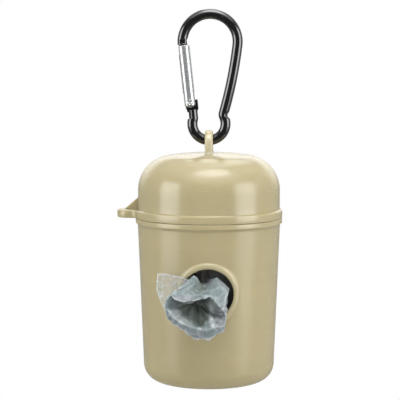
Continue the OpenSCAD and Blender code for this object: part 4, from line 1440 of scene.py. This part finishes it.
            # Painted highlight: light outlines along the flap's edges.
            for r, row in enumerate(sheet):
                for k, index in enumerate(row):
                    near = min(k, r, len(net) - 1 - r)
                    crease_and_highlight[index] = max(crease_and_highlight[index], 0.5 * smooth(1.6, 0.2, near))
            borders.append(sheet[0] + [row[-1] for row in sheet[1:]] + sheet[-1][-2::-1]
                           + [row[0] for row in sheet[-2:0:-1]])
        shell.bridge(*borders)
        finish = CrumpledFilm("thin_film", (0.34, 0.38, 0.38), (0.42, 0.42, 0.46), cover=0.16, through=0.03)
        return shell.piece(finish, 22.0)

    def neck(self) -> bpy.types.Object:
        """The gathered strip from the roll out to the rim of the hole."""
        end = self.placed(self.rim)
        start: list[Vector] = []
        (rim_x, rim_z), (middle_x, middle_z) = self.rim_middle, self.strip_middle
        wide, high = self.strip_halves
        for p in end:
            turn = math.atan2(p.z - self.hole_z - rim_z, p.x - rim_x)
            x = middle_x + wide * math.cos(turn)
            y = -math.sqrt(self.roll_r**2 - x * x) - 0.1
            start.append(Vector((x, y, self.hole_z + middle_z + high * math.sin(turn))))
        rows = []
        for t in (0.0, 0.25, 0.5, 0.75, 1.0):
            row = [a.lerp(b, t) for a, b in zip(start, end)]
            if 0 < t < 1:
                for k, p in enumerate(row):
                    middle = sum(row, Vector()) / len(row)
                    pull = 1 - self.strip_waist * math.sin(math.pi * t) - (0.1 if k % 2 else 0.0)
                    row[k] = middle.lerp(p, pull)
                    row[k].y = p.y
            rows.append(row)
        net = self.weave(rows, True, 0.5)
        shell = Shell("bag_neck")
        rings = shell.skin(net)
        shell.fan(rings[0])
        shell.fan(rings[-1])
        self.mark(shell, rings, net)
        # Painted shade: the neck is darker towards the roll, where it lies in the hole's shade, and its shade
        # colour is warm, painting the light reflected from the khaki walls.
        for r, ring in enumerate(rings):
            shell.mark("hollow", ring, [0.75 - 0.6 * smooth(0, 0.6 * len(rings), r)] * len(ring))
        return shell.piece(CrumpledFilm("gathered_film", deep=(0.14, 0.107, 0.075)), 40.0)

    def build(self) -> None:
        """Makes the bag's three pieces."""
        pouch, flap, neck = self.pouch(), self.thin_flap(), self.neck()
        for made in (pouch, flap):
            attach(made, "tail")
        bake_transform(neck)
        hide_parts("bag_tail")
        for made in (pouch, flap, neck):
            report(made)


# The studio


class Panel(Enum):
    """The soft panels.

    Each has its azimuth from the front, elevation, width, height, distance (mm), radiance, and whether it is
    round. The side and top panels have a core and a wider, weaker halo, for soft edges in their reflections.
    """

    LEFT = (-65.0, 11.0, 420.0, 484.0, 700.0, 3.1, False)
    LEFT_HALO = (-64.0, 5.0, 540.0, 640.0, 690.0, 1.0, True)
    RIGHT = (62.0, 11.0, 420.0, 484.0, 700.0, 3.1, False)
    RIGHT_HALO = (62.0, 5.0, 540.0, 640.0, 690.0, 1.0, True)
    FRONT_TOP = (12.0, 70.5, 440.0, 340.0, 700.0, 2.7, True)
    FRONT_TOP_HALO = (12.0, 69.5, 600.0, 500.0, 690.0, 1.2, True)
    FRONT_TOP_WIDE = (8.0, 60.0, 1000.0, 680.0, 680.0, 0.7, True)
    OVERHEAD = (172.0, 62.0, 380.0, 600.0, 700.0, 1.6, False)
    FILL = (0.0, -8.0, 900.0, 900.0, 900.0, 1.05, False)


@dataclass
class Studio:
    """Floor, soft light and the camera at the photograph's angle."""

    target: Triple = (-3.3, 0.0, -66.57)
    lit: Triple = (0.0, 0.0, -80.0)
    distance: float = 592.0
    azimuth: float = 1.3
    elevation: float = 5.49
    lens: float = 144.0
    floor_z: float = -190.0

    def floor(self) -> None:
        """The pale floor, far enough below the hanging part to show no shadow in the photograph's view."""
        mesh = bpy.data.meshes.new("floor")
        near, far, half, z = -0.32, 5.0, 3.0, self.floor_z * MM
        corners = [(-half, near, z), (half, near, z), (half, far, z), (-half, far, z)]
        mesh.from_pydata(corners, [], [(0, 1, 2, 3)])
        mesh.materials.append(PaleFloor().material())
        made = stand("floor", mesh)
        made.visible_glossy = False

    def aim(self, data: bpy.types.ID, middle: Triple, azimuth: float, elevation: float,
            distance: float) -> bpy.types.Object:
        """Puts a lamp or a camera into the scene.

        Args:
            data: its data, whose name it gets.
            middle: the point that it looks at.
            azimuth: its angle round the part, from the front to the right.
            elevation: its angle above the part.
            distance: how far it stands from the point.

        Returns:
            The lamp or camera.
        """
        turn, rise = math.radians(azimuth), math.radians(elevation)
        way = Vector((math.sin(turn) * math.cos(rise), -math.cos(turn) * math.cos(rise), math.sin(rise)))
        made = stand(data.name, data)
        made.location = (Vector(middle) + way * distance) * MM
        made.rotation_euler = way.to_track_quat("Z", "Y").to_euler()
        return made

    def lights(self) -> None:
        """The soft panels."""
        for panel in Panel:
            azimuth, elevation, width, height, distance, radiance, is_round = panel.value
            data = bpy.data.lights.new(panel.name.lower(), "AREA")
            data.shape = "ELLIPSE" if is_round else "RECTANGLE"
            data.size, data.size_y = width * MM, height * MM
            data.energy = radiance * 4 * data.size * data.size_y
            lamp = self.aim(data, self.lit, azimuth, elevation, distance)
            lamp.visible_camera = False
            lamp.visible_glossy = panel is not Panel.FILL

    def world(self) -> None:
        """A white surround: plain to the camera, lighting the part from the sides, the back and above."""
        world = bpy.data.worlds.new("surround")
        bpy.context.scene.world = world
        shader = Shader(world)
        right, back, up = shader.axes(shader.add("ShaderNodeTexCoord", output="Generated"))
        level = back.ramp(-0.5, 0.1, 0.06, 0.3) + right.ramp(0.3, 0.95, 0.0, 0.2)
        level = level + up.ramp(0.45, 0.9, 0.0, 0.8)
        level = level + back.ramp(0.5, 0.8) * up.ramp(-0.1, 0.37, 0.05, 1.7) * up.ramp(0.4, 0.55, 1.0, 0.0)
        seen = shader.add("ShaderNodeLightPath", output="Is Camera Ray")
        strength = level * (1.0 - seen) + seen
        surround = shader.add("ShaderNodeBackground", {}, {"Color": (1.0, 1.0, 1.0), "Strength": strength})
        shader.output(surround, "ShaderNodeOutputWorld")

    def camera(self) -> None:
        """The camera at the photograph's angle."""
        data = bpy.data.cameras.new("view")
        data.lens = self.lens
        data.clip_start, data.clip_end = 0.01, 50.0
        bpy.context.scene.camera = self.aim(data, self.target, self.azimuth, self.elevation, self.distance)

    def build(self) -> None:
        """Sets the studio up."""
        bpy.context.scene.view_settings.view_transform = "Standard"
        self.floor()
        self.lights()
        self.world()
        self.camera()


def main() -> None:
    """Builds the studio and every sub-assembly in order."""
    logging.basicConfig(level=logging.INFO, format="%(message)s")
    Studio().build()
    Hook(GateFrame()).build()
    shared = Canister()
    Lid(shared).build()
    Case(shared).build()
    RefillRoll().build()
    PulledBag().build()


if __name__ == "__main__":
    main()
